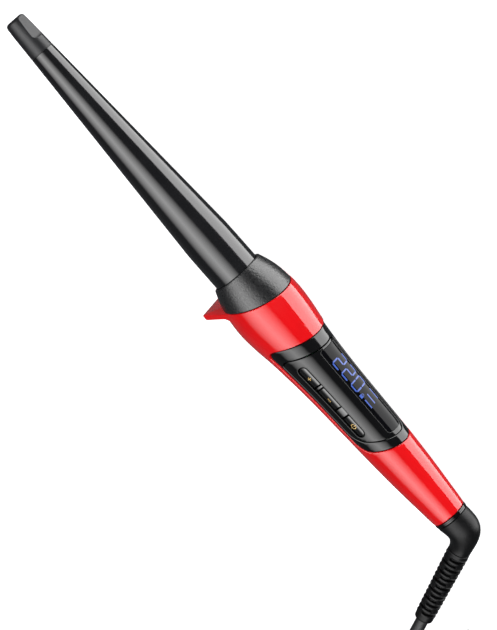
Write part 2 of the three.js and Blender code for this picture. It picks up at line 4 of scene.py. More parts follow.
import bmesh
import bpy
import numpy as np
from mathutils import Matrix, Vector
from mathutils.geometry import delaunay_2d_cdt


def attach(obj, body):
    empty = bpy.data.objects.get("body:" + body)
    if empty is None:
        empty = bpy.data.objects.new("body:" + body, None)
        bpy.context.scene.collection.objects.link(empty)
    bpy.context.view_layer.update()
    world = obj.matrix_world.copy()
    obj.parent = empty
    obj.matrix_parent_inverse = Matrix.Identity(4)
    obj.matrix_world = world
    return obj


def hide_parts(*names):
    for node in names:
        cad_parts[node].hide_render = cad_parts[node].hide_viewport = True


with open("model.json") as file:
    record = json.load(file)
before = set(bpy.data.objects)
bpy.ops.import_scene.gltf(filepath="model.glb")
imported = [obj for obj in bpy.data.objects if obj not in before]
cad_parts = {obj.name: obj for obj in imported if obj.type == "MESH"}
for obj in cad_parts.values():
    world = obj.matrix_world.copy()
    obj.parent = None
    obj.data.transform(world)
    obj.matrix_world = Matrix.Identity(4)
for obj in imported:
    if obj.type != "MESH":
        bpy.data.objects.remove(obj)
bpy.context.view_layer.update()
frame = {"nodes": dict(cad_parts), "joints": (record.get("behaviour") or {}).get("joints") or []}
print("frame loaded")

mm = 0.001
scene = bpy.context.scene

# The wand's own axes, from its joints: x from tip to handle, z out of the display, y away from
# the buttons. Lengths on the wand are in millimetres from the collar's lip.
joints = {joint["name"]: joint for joint in frame["joints"]}
swivelAt = 162
buttonAngle = math.radians(79)
xAxis = -Vector(joints["cord_swivel"]["axis"]).normalized()
outwards = -Vector(joints["plus_press"]["axis"])
outwards = (outwards - xAxis * outwards.dot(xAxis)).normalized()
zAxis = outwards * math.cos(buttonAngle) - xAxis.cross(outwards) * math.sin(buttonAngle)
yAxis = zAxis.cross(xAxis)
datum = Vector(joints["cord_swivel"]["pos_m"]) - xAxis * swivelAt * mm
droop = math.radians(72.1)  # turn of the lead outlet about the wand


def axesMatrix(x, y, z, origin):
    return Matrix.Translation(origin) @ Matrix((x, y, z)).transposed().to_4x4()


wandFrame = axesMatrix(xAxis, yAxis, zAxis, datum)
outletFrame = wandFrame @ Matrix.Rotation(droop, 4, "X")

# camera
view = {
    "turn": 46,  # degrees round the wand from the display towards the buttons
    "tilt": 7.9,  # degrees, looking a little towards the handle
    "slant": 48.54,  # degrees that the wand leans in the picture
    "distance": 1400,
    "along": 19.6,
    "across": -9.38,
    "lens": 164.2,
}
turn, tilt, slant = (math.radians(view[k]) for k in ("turn", "tilt", "slant"))
towards = zAxis * math.cos(turn) - yAxis * math.sin(turn)
sideways = zAxis * math.sin(turn) + yAxis * math.cos(turn)
lengthwise = xAxis * math.cos(tilt) + towards * math.sin(tilt)
backwards = towards * math.cos(tilt) - xAxis * math.sin(tilt)
camera = bpy.data.objects.new("camera", bpy.data.cameras.new("camera"))
scene.collection.objects.link(camera)
right = lengthwise * math.cos(slant) + sideways * math.sin(slant)
upwards = sideways * math.cos(slant) - lengthwise * math.sin(slant)
target = datum + xAxis * view["along"] * mm + sideways * view["across"] * mm
camera.matrix_world = axesMatrix(right, upwards, backwards, target + backwards * view["distance"] * mm)
camera.data.lens = view["lens"]
camera.data.clip_end = 20
scene.camera = camera


# helpers for materials
def linearColour(code):
    # sRGB hex to linear
    parts = [int(code[i : i + 2], 16) / 255 for i in (1, 3, 5)]
    parts = [p / 12.92 if p <= 0.04045 else ((p + 0.055) / 1.055) ** 2.4 for p in parts]
    return (*parts, 1)


def addNode(material, kind, inputs=None, settings=None):
    # adds a node; an input is a number, a colour or another node's output
    node = material.node_tree.nodes.new("ShaderNode" + kind)
    for key, value in (settings or {}).items():
        setattr(node, key, value)
    for key, value in (inputs or {}).items():
        if isinstance(value, bpy.types.NodeSocket):
            material.node_tree.links.new(value, node.inputs[key])
        else:
            node.inputs[key].default_value = value
    return node


def startMaterial(name, **values):
    material = bpy.data.materials.new(name)
    material.use_nodes = True
    shader = material.node_tree.nodes["Principled BSDF"]
    for key, value in values.items():
        shader.inputs[key.replace("_", " ")].default_value = value
    return material, shader


def grained(name, colours, roughness, grain, drift, bump, coat=0, coatRoughness=0.03, **values):
    # a moulded or coated surface: fine grain as bump, a slow drift in colour; grain and drift in mm.
    # a real grain of 0.1 to 0.3 mm is too fine to show, so it is drawn two to four times coarser
    material, shader = startMaterial(name, Coat_Weight=coat, Coat_Roughness=coatRoughness, **values)
    place = addNode(material, "TexCoord").outputs["Object"]
    patches = addNode(material, "TexNoise", {"Vector": place, "Scale": 1 / (drift * mm), "Detail": 3})
    grains = addNode(material, "TexNoise", {"Vector": place, "Scale": 1 / (grain * mm), "Detail": 2})
    mixed = addNode(material, "ValToRGB", {"Fac": patches.outputs["Fac"]})
    for element, position, colour in zip(mixed.color_ramp.elements, (0.35, 0.65), colours):
        element.position, element.color = position, linearColour(colour)
    rough = addNode(material, "MapRange", {
        "Value": grains.outputs["Fac"], "From Min": 0.3, "From Max": 0.7,
        "To Min": roughness[0], "To Max": roughness[1],
    })
    raised = addNode(material, "Bump", {
        "Height": grains.outputs["Fac"], "Strength": bump, "Distance": grain * mm * 0.2,
    })
    links = material.node_tree.links
    links.new(mixed.outputs["Color"], shader.inputs["Base Color"])
    links.new(rough.outputs["Result"], shader.inputs["Roughness"])
    links.new(raised.outputs["Normal"], shader.inputs["Normal"])
    return material


# helpers for meshes
def meshPiece(name, vertices, faces, matrix=wandFrame):
    # vertices in millimetres in the piece's own frame; doubles are welded and faces turned outwards
    mesh = bpy.data.meshes.new(name)
    inMetres = [tuple(float(c) * mm for c in v) for v in vertices]
    mesh.from_pydata(inMetres, [], [tuple(map(int, f)) for f in faces])
    work = bmesh.new()
    work.from_mesh(mesh)
    bmesh.ops.remove_doubles(work, verts=work.verts, dist=1e-7)
    bmesh.ops.dissolve_degenerate(work, edges=work.edges, dist=1e-7)
    bmesh.ops.recalc_face_normals(work, faces=work.faces)
    work.to_mesh(mesh)
    work.free()
    mesh.transform(matrix)
    piece = bpy.data.objects.new(name, mesh)
    scene.collection.objects.link(piece)
    return piece


def finishPiece(piece, material, body, nodes=(), sharp=32):
    piece.data.materials.append(material)
    if piece.type == "MESH":
        piece.data.polygons.foreach_set("use_smooth", [True] * len(piece.data.polygons))
        piece.data.set_sharp_from_angle(angle=math.radians(sharp))
    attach(piece, body)
    if nodes:
        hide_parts(*nodes)
    return piece


def profileCurve(points):
    # a smooth curve through (x, r) points
    x, r = np.array(points, float).T
    slope = np.empty_like(r)
    slope[1:-1] = (r[2:] - r[:-2]) / (x[2:] - x[:-2])
    slope[0], slope[-1] = (r[1] - r[0]) / (x[1] - x[0]), (r[-1] - r[-2]) / (x[-1] - x[-2])
    fine = np.linspace(x[0], x[-1], 1600)
    i = np.clip(np.searchsorted(x, fine) - 1, 0, len(x) - 2)
    span = x[i + 1] - x[i]
    t = (fine - x[i]) / span
    value = (
        (1 + 2 * t) * (1 - t) ** 2 * r[i]
        + t * (1 - t) ** 2 * span * slope[i]
        + t * t * (3 - 2 * t) * r[i + 1]
        + t * t * (t - 1) * span * slope[i + 1]
    )
    return lambda at: np.interp(at, fine, value)


def onWand(x, r, angle):
    # the point at radius r and at an angle in degrees from the display towards the buttons
    angle = np.radians(angle)
    return np.stack(np.broadcast_arrays(x, -r * np.sin(angle), r * np.cos(angle)), -1)


def filleted(corners, steps=5):
    # corners are (x, r, radius of the fillet)
    points = []
    for i, (x, r, radius) in enumerate(corners):
        here = Vector((x, r))
        if radius == 0 or i in (0, len(corners) - 1):
            points.append((x, r))
            continue
        before = (Vector(corners[i - 1][:2]) - here).normalized()
        after = (Vector(corners[i + 1][:2]) - here).normalized()
        half = before.angle(after) / 2
        reach = radius / math.tan(half)
        centre = here + (before + after).normalized() * radius / math.sin(half)
        start, end = here + before * reach - centre, here + after * reach - centre
        for k in range(steps + 1):
            swing = start.lerp(end, k / steps).normalized() * radius
            points.append(tuple(centre + swing))
    return points


def ringFaces(rings, around, closed=False):
    # quads between each ring of points and the next
    faces = []
    for i in range(rings if closed else rings - 1):
        for j in range(around):
            k, onward = (j + 1) % around, (i + 1) % rings
            faces.append((i * around + j, i * around + k, onward * around + k, onward * around + j))
    return faces


def turned(name, profile, segments=96, closed=False, matrix=wandFrame, shape=None):
    # a profile of (x, r) turned round the x axis; shape moves the points of the finished grid
    profile = np.array(profile, float)
    angles = np.arange(segments) * 360 / segments
    x, r = profile[:, None, 0], profile[:, None, 1]
    points = onWand(x, r, angles[None])
    if shape:
        points = shape(points, x + 0 * angles, r + 0 * angles, angles + 0 * x)
    return meshPiece(name, points.reshape(-1, 3), ringFaces(len(profile), segments, closed), matrix)


# helpers for plates cut from a flat pattern and wrapped round the wand
def resampled(loop, spacing):
    loop = np.array(loop, float)
    closed = np.vstack([loop, loop[:1]])
    lengths = np.r_[0, np.cumsum(np.linalg.norm(np.diff(closed, axis=0), axis=1))]
    count = max(int(lengths[-1] / spacing), 8)
    at = np.linspace(0, lengths[-1], count, endpoint=False)
    return np.stack([np.interp(at, lengths, closed[:, k]) for k in (0, 1)], 1)


def insideLoop(points, loop):
    x, y = points[:, :1], points[:, 1:]
    x0, y0 = loop.T
    x1, y1 = np.roll(x0, -1), np.roll(y0, -1)
    span = np.where(y1 == y0, 1e-12, y1 - y0)
    crossed = ((y0 > y) != (y1 > y)) & (x < (x1 - x0) * (y - y0) / span + x0)
    return crossed.sum(1) % 2 == 1


def distanceTo(points, starts, ends):
    along = ends - starts
    nearest = np.full(len(points), 1e9)
    for start, step in zip(starts, along):
        t = np.clip((points - start) @ step / max(step @ step, 1e-12), 0, 1)
        nearest = np.minimum(nearest, np.linalg.norm(points - start - t[:, None] * step, axis=1))
    return nearest


def offsetLoop(loop, distance):
    # moves a closed loop to its left by a distance
    before, after = loop - np.roll(loop, 1, 0), np.roll(loop, -1, 0) - loop
    middle = sum(d[:, ::-1] * (-1, 1) / np.linalg.norm(d, axis=1)[:, None] for d in (before, after))
    return loop + middle * (2 * distance / (middle * middle).sum(1))[:, None]


def anticlockwise(loop):
    x, y = loop.T
    return loop if (x * np.roll(y, -1) - y * np.roll(x, -1)).sum() > 0 else loop[::-1]


def wrappedPlate(name, outline, holes, gridX, gridA, girth, place, edge=0.3, seam=False, spacing=0.7):
    # outline and holes are loops of (x, arc); place(x, angle, drop, outer) gives the points
    outline = anticlockwise(np.array(outline, float) if seam else resampled(outline, spacing))
    holes = [anticlockwise(resampled(hole, spacing))[::-1] for hole in holes]
    loops = [outline, *holes]
    cut = holes if seam else loops
    steps = [edge * (1 - math.cos(math.radians(a))) for a in (30, 60, 90)]
    rings = [offsetLoop(loop, d) for loop in cut for d in steps]
    grid = np.array([(x, a) for x in gridX for a in gridA], float)
    keep = insideLoop(grid, outline)
    for hole in holes:
        keep &= ~insideLoop(grid, hole)
    for ring in cut:
        keep &= distanceTo(grid, ring, np.roll(ring, -1, 0)) > edge + 0.3
    points, edges, start = [], [], 0
    for ring in [*loops, *rings]:
        points.append(ring)
        edges += [(start + i, start + (i + 1) % len(ring)) for i in range(len(ring))]
        start += len(ring)
    points = np.vstack([*points, grid[keep]])
    found = delaunay_2d_cdt([Vector(p) for p in points], edges, [], 0, 1e-7)
    flat = np.array([tuple(v) for v in found[0]])
    triangles = np.array(found[2])
    middles = flat[triangles].mean(1)
    wanted = insideLoop(middles, outline)
    for hole in holes:
        wanted &= ~insideLoop(middles, hole)
    triangles = triangles[wanted]
    used = np.unique(triangles)
    remap = np.full(len(flat), -1)
    remap[used] = np.arange(len(used))
    flat, triangles = flat[used], remap[triangles]
    starts = np.vstack(cut)
    ends = np.vstack([np.roll(loop, -1, 0) for loop in cut])
    if seam:  # the two ends of a sleeve are cut edges as well
        (low, first), (high, last) = outline.min(0), outline.max(0)
        starts = np.vstack([starts, (low, first), (high, first)])
        ends = np.vstack([ends, (low, last), (high, last)])
    distance = distanceTo(flat, starts, ends)
    inset = np.clip(edge - distance, 0, edge)
    drop = edge - np.sqrt(edge * edge - inset * inset)
    angles = np.degrees(flat[:, 1] / girth)
    top = place(flat[:, 0], angles, drop, True)
    bottom = place(flat[:, 0], angles, drop * 0, False)
    count = len(flat)
    faces = [tuple(t) for t in triangles] + [tuple(t[::-1] + count) for t in triangles]
    sides = {}
    for t in triangles:
        for a, b in ((t[0], t[1]), (t[1], t[2]), (t[2], t[0])):
            if (b, a) in sides:
                del sides[b, a]
            else:
                sides[a, b] = True
    for a, b in sides:
        onSeam = seam and distance[a] > 1e-4 and distance[b] > 1e-4
        onSeam = onSeam or (seam and abs(flat[a, 1] - flat[b, 1]) < 1e-6 and abs(
            flat[a, 1] - outline[:, 1].min()) * abs(flat[a, 1] - outline[:, 1].max()) < 1e-6)
        if not onSeam:
            faces.append((b, a, a + count, b + count))
    return meshPiece(name, np.vstack([top, bottom]), faces)


# the mains lead: the route's points repeat the model's own, in metres
lead = {"radius": 0.00325, "length": 1.8, "centre": (-0.244, 0.041), "inner": 0.027, "low": 0.00415,
        "high": 0.01065, "turns": 3.2917, "hop": 0.4, "from": 50, "perTurn": 36}
leadRoute = [
    (-0.17793, 0.0334, 0.00486), (-0.17986, 0.03767, 0.00451), (-0.1832, 0.0452, 0.00395),
    (-0.1874, 0.0536, 0.00345), (-0.1925, 0.0614, 0.0033), (-0.1986, 0.068, 0.0034),
    (-0.2056, 0.0737, 0.0038), (-0.21289, 0.07808, 0.00415),
]
tailRoute = [
    (-0.2092, 0.07463, 0.01065), (-0.21562, 0.0801, 0.01171), (-0.22323, 0.08364, 0.01406),
    (-0.23153, 0.08456, 0.01618), (-0.23953, 0.08372, 0.01706), (-0.24694, 0.08279, 0.01715),
    (-0.25482, 0.08107, 0.01715), (-0.26189, 0.07717, 0.01715), (-0.26755, 0.07142, 0.01715),
    (-0.27134, 0.0643, 0.01772), (-0.27293, 0.05639, 0.01897), (-0.27221, 0.04835, 0.02022),
    (-0.26922, 0.04085, 0.02079), (-0.26622, 0.03566, 0.02079), (-0.26486, 0.03332, 0.02079),
]


def smoothRoute(points, steps):
    # a curve through the points, with its ends carried straight on
    points = [Vector(p) for p in points]
    points = [2 * points[0] - points[1], *points, 2 * points[-1] - points[-2]]
    made = []
    for i in range(1, len(points) - 2):
        a, b, c, d = points[i - 1 : i + 3]
        for k in range(steps):
            t = k / steps
            curve = 2 * b + (c - a) * t
            curve += (2 * a - 5 * b + 4 * c - d) * t * t + (3 * b - a - 3 * c + d) * t**3
            made.append(0.5 * curve)
    return [*made, points[-2]]


def coilRoute():
    # in from the outside on the surface, one step up, then out again on top
    pitch, turns, hop = 2 * lead["radius"], lead["turns"], lead["hop"]
    outer = lead["inner"] + pitch * turns
    total = 2 * turns + hop
    made = []
    for k in range(1, int(total * lead["perTurn"])):
        t = k / lead["perTurn"]
        rise = min(max((t - turns) / hop, 0), 1)
        r = outer - pitch * t if t < turns else lead["inner"] + pitch * max(t - turns - hop, 0)
        z = lead["low"] + (lead["high"] - lead["low"]) * rise * rise * (3 - 2 * rise)
        angle = math.radians(lead["from"]) + 2 * math.pi * t
        made.append(Vector((*lead["centre"], z)) + r * Vector((math.cos(angle), math.sin(angle), 0)))
    return made


leadPoints = smoothRoute(leadRoute, 6) + coilRoute() + smoothRoute(tailRoute, 6)
leadData = bpy.data.curves.new("mains_lead", "CURVE")
leadData.dimensions = "3D"
leadData.bevel_depth = lead["radius"]
leadData.bevel_resolution = 5
leadData.use_fill_caps = True
spline = leadData.splines.new("POLY")
spline.points.add(len(leadPoints) - 1)
for point, at in zip(spline.points, leadPoints):
    point.co = (*at, 1)
spline.use_smooth = True
mainsLead = bpy.data.objects.new("mains_lead", leadData)
scene.collection.objects.link(mainsLead)
print("camera and lead placed")

# finishes
# heat-resistant nylon, moulded with a spark-eroded grain: dull dark grey
tipNylon = grained(
    "moulded nylon", ("#141416", "#1a1a1c"), (0.34, 0.46),
    grain=0.45, drift=9, bump=0.35, Specular_IOR_Level=0.4,
)
# ceramic coating sprayed and baked on aluminium: smooth and glossy with a faint fleck
ceramicCoating = grained(
    "baked ceramic coating", ("#101012", "#161618"), (0.09, 0.15),
    grain=0.7, drift=14, bump=0.03, IOR=1.62,
)
# glass-filled nylon, moulded in a fine-blasted tool: satin black with broad soft highlights
collarNylon = grained(
    "glass-filled nylon", ("#101011", "#161617"), (0.25, 0.38),
    grain=0.85, drift=8, bump=0.75, IOR=1.62,
)
# ABS lacquered red: deep colour under a clear gloss with the faintest orange peel
redLacquer = grained(
    "red lacquer on ABS", ("#f80a12", "#ff0d15"), (0.16, 0.22),
    grain=2.2, drift=25, bump=0.012, Specular_IOR_Level=0.1, coat=0.88, coatRoughness=0.05,
)
# piano-black ABS from a polished tool: mirror gloss
pianoBlack = grained(
    "polished black ABS", ("#070708", "#0b0b0c"), (0.07, 0.11),
    grain=2.0, drift=20, bump=0.01, IOR=1.5,
)
# smoked acrylic, polished: darker in reflection than the panel
smokedAcrylic = grained(
    "smoked acrylic", ("#08080b", "#0d0d11"), (0.05, 0.08),
    grain=2.0, drift=20, bump=0.006, Specular_IOR_Level=0.12,
)
# black ABS buttons, moulded with a light satin
satinBlack = grained(
    "satin black ABS", ("#050506", "#09090a"), (0.08, 0.13),
    grain=0.4, drift=6, bump=0.05, IOR=1.75,
)
# soft PVC, moulded over the lead: satin black
mouldedPvc = grained(
    "moulded soft PVC", ("#080809", "#0e0e0f"), (0.32, 0.44),
    grain=0.5, drift=7, bump=0.15, Specular_IOR_Level=0.2,
)
# extruded PVC sheath: dull black with faint die lines
sheathPvc = grained(
    "extruded PVC sheath", ("#0b0b0c", "#111112"), (0.42, 0.56),
    grain=0.6, drift=12, bump=0.2, IOR=1.53,
)
# nickel-plated brass, drawn and polished: bright with hair-fine wear
nickelPlate = grained(
    "nickel plate", ("#b9bbbe", "#cfd1d4"), (0.14, 0.26),
    Metallic=1, grain=0.5, drift=5, bump=0.05,
)
# brass, stamped from strip and tumbled: warm and softly bright
brassStamped = grained(
    "stamped brass", ("#a8813c", "#c79f55"), (0.25, 0.4),
    Metallic=1, grain=0.5, drift=4, bump=0.08,
)
# steel, zinc plated: cool grey with a dull shine
zincPlate = grained(
    "zinc-plated steel", ("#9fa3a8", "#bcbfc4"), (0.25, 0.4),
    Metallic=1, grain=0.4, drift=4, bump=0.08,
)
# aluminium, extruded and sawn: pale grey and matt
extrudedAluminium = grained(
    "extruded aluminium", ("#a3a5a8", "#bdbfc2"), (0.3, 0.5),
    Metallic=1, grain=0.6, drift=8, bump=0.1,
)
# alumina, pressed and fired: off-white with a dry surface
firedCeramic = grained(
    "fired alumina", ("#ddd9cc", "#ebe8dd"), (0.5, 0.65),
    grain=0.4, drift=6, bump=0.15,
)
# glass-filled resin, moulded for heat: tan and chalky
socketResin = grained(
    "glass-filled resin", ("#7f776b", "#93897b"), (0.5, 0.7),
    grain=0.5, drift=6, bump=0.25,
)
# epoxy, moulded round the components: matt black
componentBlack = grained(
    "moulded epoxy", ("#1b1b1d", "#29292b"), (0.4, 0.6),
    grain=0.35, drift=5, bump=0.2,
)
# nylon, moulded: plain mid grey with a faint grain
chassisNylon = grained("grey nylon", ("#3f3f42", "#4d4d50"), (0.45, 0.6), grain=0.45, drift=9, bump=0.2)
# silicone sleeve, extruded over the wires: soft and matt
leadBrown = grained(
    "brown silicone sleeve", ("#5f2c18", "#7a3a20"), (0.45, 0.6),
    grain=0.3, drift=5, bump=0.2,
)
leadBlue = grained(
    "blue silicone sleeve", ("#213f78", "#2c509a"), (0.45, 0.6),
    grain=0.3, drift=5, bump=0.2,
)
# gold foil, hot-stamped: thin and slightly broken up
goldFoil = grained(
    "hot-stamped gold foil", ("#dcae56", "#fbdc93"), (0.25, 0.45),
    Metallic=0.3, grain=0.25, drift=0.8, bump=0.1,
)
print("finishes made")

# barrel and tip
barrel = {"start": -142, "end": 14, "small": 6.4, "large": 12.5, "wall": 1.5}
tip = {"start": -162.5, "end": -142.1, "radius": 5.4, "base": 6.38, "round": 2, "spigot": -134.3,
       "spigotRadius": 4.4, "flat": 4.85, "flatEnd": -151.2, "sweep": 3.6}

outer = [(barrel["start"], barrel["small"] - barrel["wall"], 0), (barrel["start"], barrel["small"], 0.15)]
outer += [(x, barrel["small"] + (x - barrel["start"]) / 120 * 6, 0) for x in range(-132, -31, 10)]
outer += [(-22, 12.4, 0), (-14, 12.48, 0), (-4, 12.5, 0), (barrel["end"], barrel["large"], 0.2)]
inner = [(barrel["end"], 11, 0), (-22, 10.9, 0), (barrel["start"], barrel["small"] - barrel["wall"], 0)]
heatedBarrel = turned("heated_barrel", filleted(outer + inner)[:-1], closed=True)
finishPiece(heatedBarrel, ceramicCoating, "wand", ["barrel"])

profile = filleted([
    (tip["start"], 0, 0), (tip["start"], tip["radius"] - 0.15, tip["round"]), (-156, 5.75, 0),
    (tip["end"], tip["base"], 0.15), (tip["end"], tip["spigotRadius"], 0),
    (tip["spigot"], tip["spigotRadius"], 0.5), (tip["spigot"], 0, 0),
])
coolTip = turned("insulated_tip", profile)
swept = [(-170, 12), (-170, tip["flat"])]
swept += [(tip["flatEnd"] + tip["sweep"] * math.sin(a), tip["flat"] + tip["sweep"] * (1 - math.cos(a)))
          for a in np.radians(np.arange(0, 91, 6))]
swept += [(tip["flatEnd"] + tip["sweep"], 12)]
for side in (1, -1):  # a flat on the display's side and one behind
    count = len(swept)
    vertices = [(x, y, side * z) for y in (-12, 12) for x, z in swept]
    faces = [tuple(range(count)), tuple(range(2 * count - 1, count - 1, -1))]
    faces += [(i, (i + 1) % count, (i + 1) % count + count, i + count) for i in range(count)]
    cutter = meshPiece("cutter", vertices, faces)
    modifier = coolTip.modifiers.new("flat", "BOOLEAN")
    modifier.object, modifier.operation, modifier.solver = cutter, "DIFFERENCE", "EXACT"
    bpy.context.view_layer.update()
    evaluated = coolTip.evaluated_get(bpy.context.evaluated_depsgraph_get())
    cutShape = bpy.data.meshes.new_from_object(evaluated)
    coolTip.modifiers.clear()
    coolTip.data = cutShape
    bpy.data.objects.remove(cutter)
finishPiece(coolTip, tipNylon, "wand", ["cool_tip"], sharp=20)
print("barrel and tip made")

# collar
rim = {"x": 14.5, "slope": 0.31, "gap": 0.3}
collar = {"bore": 12.8, "inside": 15.1, "lip": 7, "edge": 0.3}
collarRadius = profileCurve([
    (0, 13.85), (2.4, 14.8), (4.9, 15.75), (9.7, 17.15), (14.5, 18), (20, 18.45), (26, 18.6),
])


def slantedEnd(points, x, r, angles):
    # x is a share from 0 at the lip to 1 at the slanted joint; r is 0 outside, 1 on the edge, 2 inside
    end = rim["x"] - rim["gap"] + rim["slope"] * 17.8 * np.cos(np.radians(angles))
    for _ in range(8):
        end = rim["x"] - rim["gap"] + rim["slope"] * collarRadius(end) * np.cos(np.radians(angles))
    at = x * end
    outside = collarRadius(at)
    back = end - at
    edge = collar["edge"]
    outside -= edge - np.sqrt(np.clip(edge**2 - np.clip(edge - back, 0, edge) ** 2, 0, None))
    outside -= 0.25 * np.clip(1 - at / 0.5, 0, 1) ** 2
    inside = np.where(at < collar["lip"], collar["bore"], collar["inside"])
    return onWand(at, np.where(r < 0.5, outside, inside), angles)


shares = [0, 0.006, 0.014, 0.025, 0.04, *np.linspace(0.06, 0.94, 26), 0.96, 0.975, 0.985, 0.993, 0.998, 1]
profile = [(t, 0) for t in shares] + [(t, 2) for t in (1, 0.75, 0.5, 0.36, 0.34, 0.2, 0)]
collarPiece = turned("barrel_collar", profile, 128, closed=True, shape=slantedEnd)
finishPiece(collarPiece, collarNylon, "wand", ["collar"])
print("collar made")

# handle shell with its heel rest
handleRadius = profileCurve([
    (6, 16.5), (10, 17.4), (14.5, 18.15), (20, 18.7), (25, 18.9), (30.5, 18.6), (36.4, 18), (42, 17.2),
    (48, 16.45), (54, 15.9), (60, 15.35), (66, 14.9), (74, 14.4), (84, 13.95), (94, 13.55), (104, 13.15),
    (115, 12.7), (124, 12.2), (132, 11.7), (141, 11), (150, 10.2), (157, 9.6), (160, 9.2),
])
shell = {
    "end": 160, "wall": 1.9, "edge": 0.45, "neck": 6.1,
    "neckLength": 5,  # the rear end is thickened down to the swivel
    "fadeFrom": 20, "fadeTo": 40,  # where the slant of the joint fades out
    "seam": 145,  # degrees round the wand where the pattern's two sides meet
}
foot = {
    "reach": 26.5, "half": 11.5, "corner": 0.8, "tangent": 17.4,
    "edge": 2.7, "taper": 0.107, "fillet": 2.2, "rows": 3.6,
    "margin": 12,  # degrees past its sides where the plate ends
    "blend": 0.35,  # softness of the line where it leaves the body
    "settle": 9,  # length behind it in which the pattern is even again
    "ridge": 0.2, "ridgeHalf": 0.35,
}
panel = {
    "front": 40.4, "frontSlope": 0.46, "rear": 109.3, "rearSlope": 0.45, "from": -111.5, "to": 111.5,
    "cornerFront": 6, "cornerRear": 6.5, "thickness": 1.6,
}
fascia = {
    "front": 48.1, "frontSlope": 0.42, "rear": 102.3, "rearSlope": 0.6, "from": -28, "to": 104,
    "cornerFront": 4, "cornerRear": 6, "sunk": 0.4, "thickness": 1.2, "groove": 0.3,
}
girth = 14


def panelRadius(x):
    return handleRadius(x) - np.interp(x, [54, 104], [0.55, 0.12])


def plateLoop(plate, grow=0):
    # the outline of a wrapped plate with slanted ends and rounded corners, as (x, arc)
    low, high = (math.radians(plate[k]) * girth for k in ("from", "to"))
    low, high = low - grow, high + grow

    def cut(radius, e):
        rounded = radius - np.sqrt(np.clip(radius**2 - (radius - e) ** 2, 0, None))
        return np.where(e < radius, rounded, 0)

    widest = max(plate["cornerFront"], plate["cornerRear"])
    swing = (1 - np.cos(np.radians(np.arange(0, 91, 5)))) * widest
    arcs = np.unique(np.r_[low + swing, np.linspace(low, high, 90), high - swing])
    edge = np.minimum(arcs - low, high - arcs)
    height = np.cos(arcs / girth) * panelRadius((plate["front"] + plate["rear"]) / 2)
    front = plate["front"] + plate["frontSlope"] * height - grow + cut(plate["cornerFront"], edge)
    rear = plate["rear"] + plate["rearSlope"] * height + grow - cut(plate["cornerRear"], edge)
    return np.vstack([np.stack([rear, arcs], 1), np.stack([front, arcs], 1)[::-1]])


def faded(s):
    t = np.clip((s - shell["fadeFrom"]) / (shell["fadeTo"] - shell["fadeFrom"]), 0, 1)
    return 1 - t * t * (3 - 2 * t)


def atRim(s, r, angles):
    # how far along the wand a point lies that is s behind the slanted joint
    return rim["x"] + s + rim["slope"] * r * np.cos(angles) * faded(s)


def bodyRadius(s, angles):
    r = handleRadius(rim["x"] + s)
    for _ in range(8):
        r = handleRadius(atRim(s, r, angles))
    return r


def behindRim(loop):
    # turns (x, arc) into (distance behind the slanted joint, arc)
    x, arc = np.array(loop).T
    height = handleRadius(x) * np.cos(arc / girth)
    s = x - rim["x"]
    for _ in range(20):
        s = 0.5 * s + 0.5 * (x - rim["x"] - rim["slope"] * height * faded(s))
    return np.stack([s, arc], 1)


def shellPlace(s, degrees, drop, outside):
    angles = np.radians(degrees)
    body = bodyRadius(s, angles)
    if not outside:
        inside = body - shell["wall"]
        inside = np.where(s > shell["end"] - rim["x"] - shell["neckLength"], shell["neck"], inside)
        return onWand(atRim(s, body, angles), inside, degrees)
    # the heel rest: a thin plate square to the slanted joint, whose sides run into the body
    down = np.abs(degrees % 360 - 180)
    across = math.hypot(foot["half"], foot["reach"])
    meeting = math.degrees(math.atan2(foot["half"], foot["reach"]) + math.acos(foot["tangent"] / across))
    bottom = foot["reach"] / np.cos(np.radians(np.minimum(down, 60)))
    sides = foot["tangent"] / np.cos(np.radians(np.clip(meeting - down, 0, 89)))
    soft = foot["corner"]
    plate = -soft * np.log(np.exp(-bottom / soft) + np.exp(-np.minimum(sides, 60) / soft))
    above = np.where(down < meeting + foot["margin"], plate, 0) - body
    blend = foot["blend"]
    tall = blend * (np.logaddexp(0, above / blend) - np.log(2) * np.exp(-np.abs(above)))
    plate = body + tall
    strength = np.clip(tall / foot["fillet"], 0, 1)
    fillet = np.minimum(foot["fillet"], np.maximum(tall, 1e-3) * 0.6)
    share = np.clip((s - foot["edge"]) / foot["rows"], 0, 1)
    fall = np.clip(share / 0.5, 0, 1)
    turnIn = np.radians(np.clip((share - 0.5) / 0.5, 0, 1) * 90)
    steep = plate + (body + fillet - plate) * fall - fillet * np.sin(turnIn)
    steepS = foot["edge"] + foot["taper"] * (tall - fillet) * fall + fillet * (1 - np.cos(turnIn))
    endS = foot["edge"] + foot["taper"] * (tall - fillet) + fillet
    footEnd = foot["edge"] + foot["rows"]
    onFoot = s < footEnd
    shift = (endS - footEnd) * np.clip(1 - (s - footEnd) / foot["settle"], 0, 1)
    moved = np.where(s < foot["edge"], s, np.where(onFoot, steepS, s + shift))
    radius = np.where(s < foot["edge"], plate, np.where(onFoot, steep, body))
    newS = s + (moved - s) * strength
    body2 = bodyRadius(newS, angles)
    radius = np.where(onFoot, radius + (body2 - body) * share, body2)
    radius = np.where(s < foot["edge"], np.minimum(radius, plate), radius)
    ridge = np.clip(1 - np.abs(s - foot["edge"]) / foot["ridgeHalf"], 0, 1) ** 2 * foot["ridge"] * strength
    return onWand(atRim(newS, radius, angles), radius - drop - ridge, degrees)


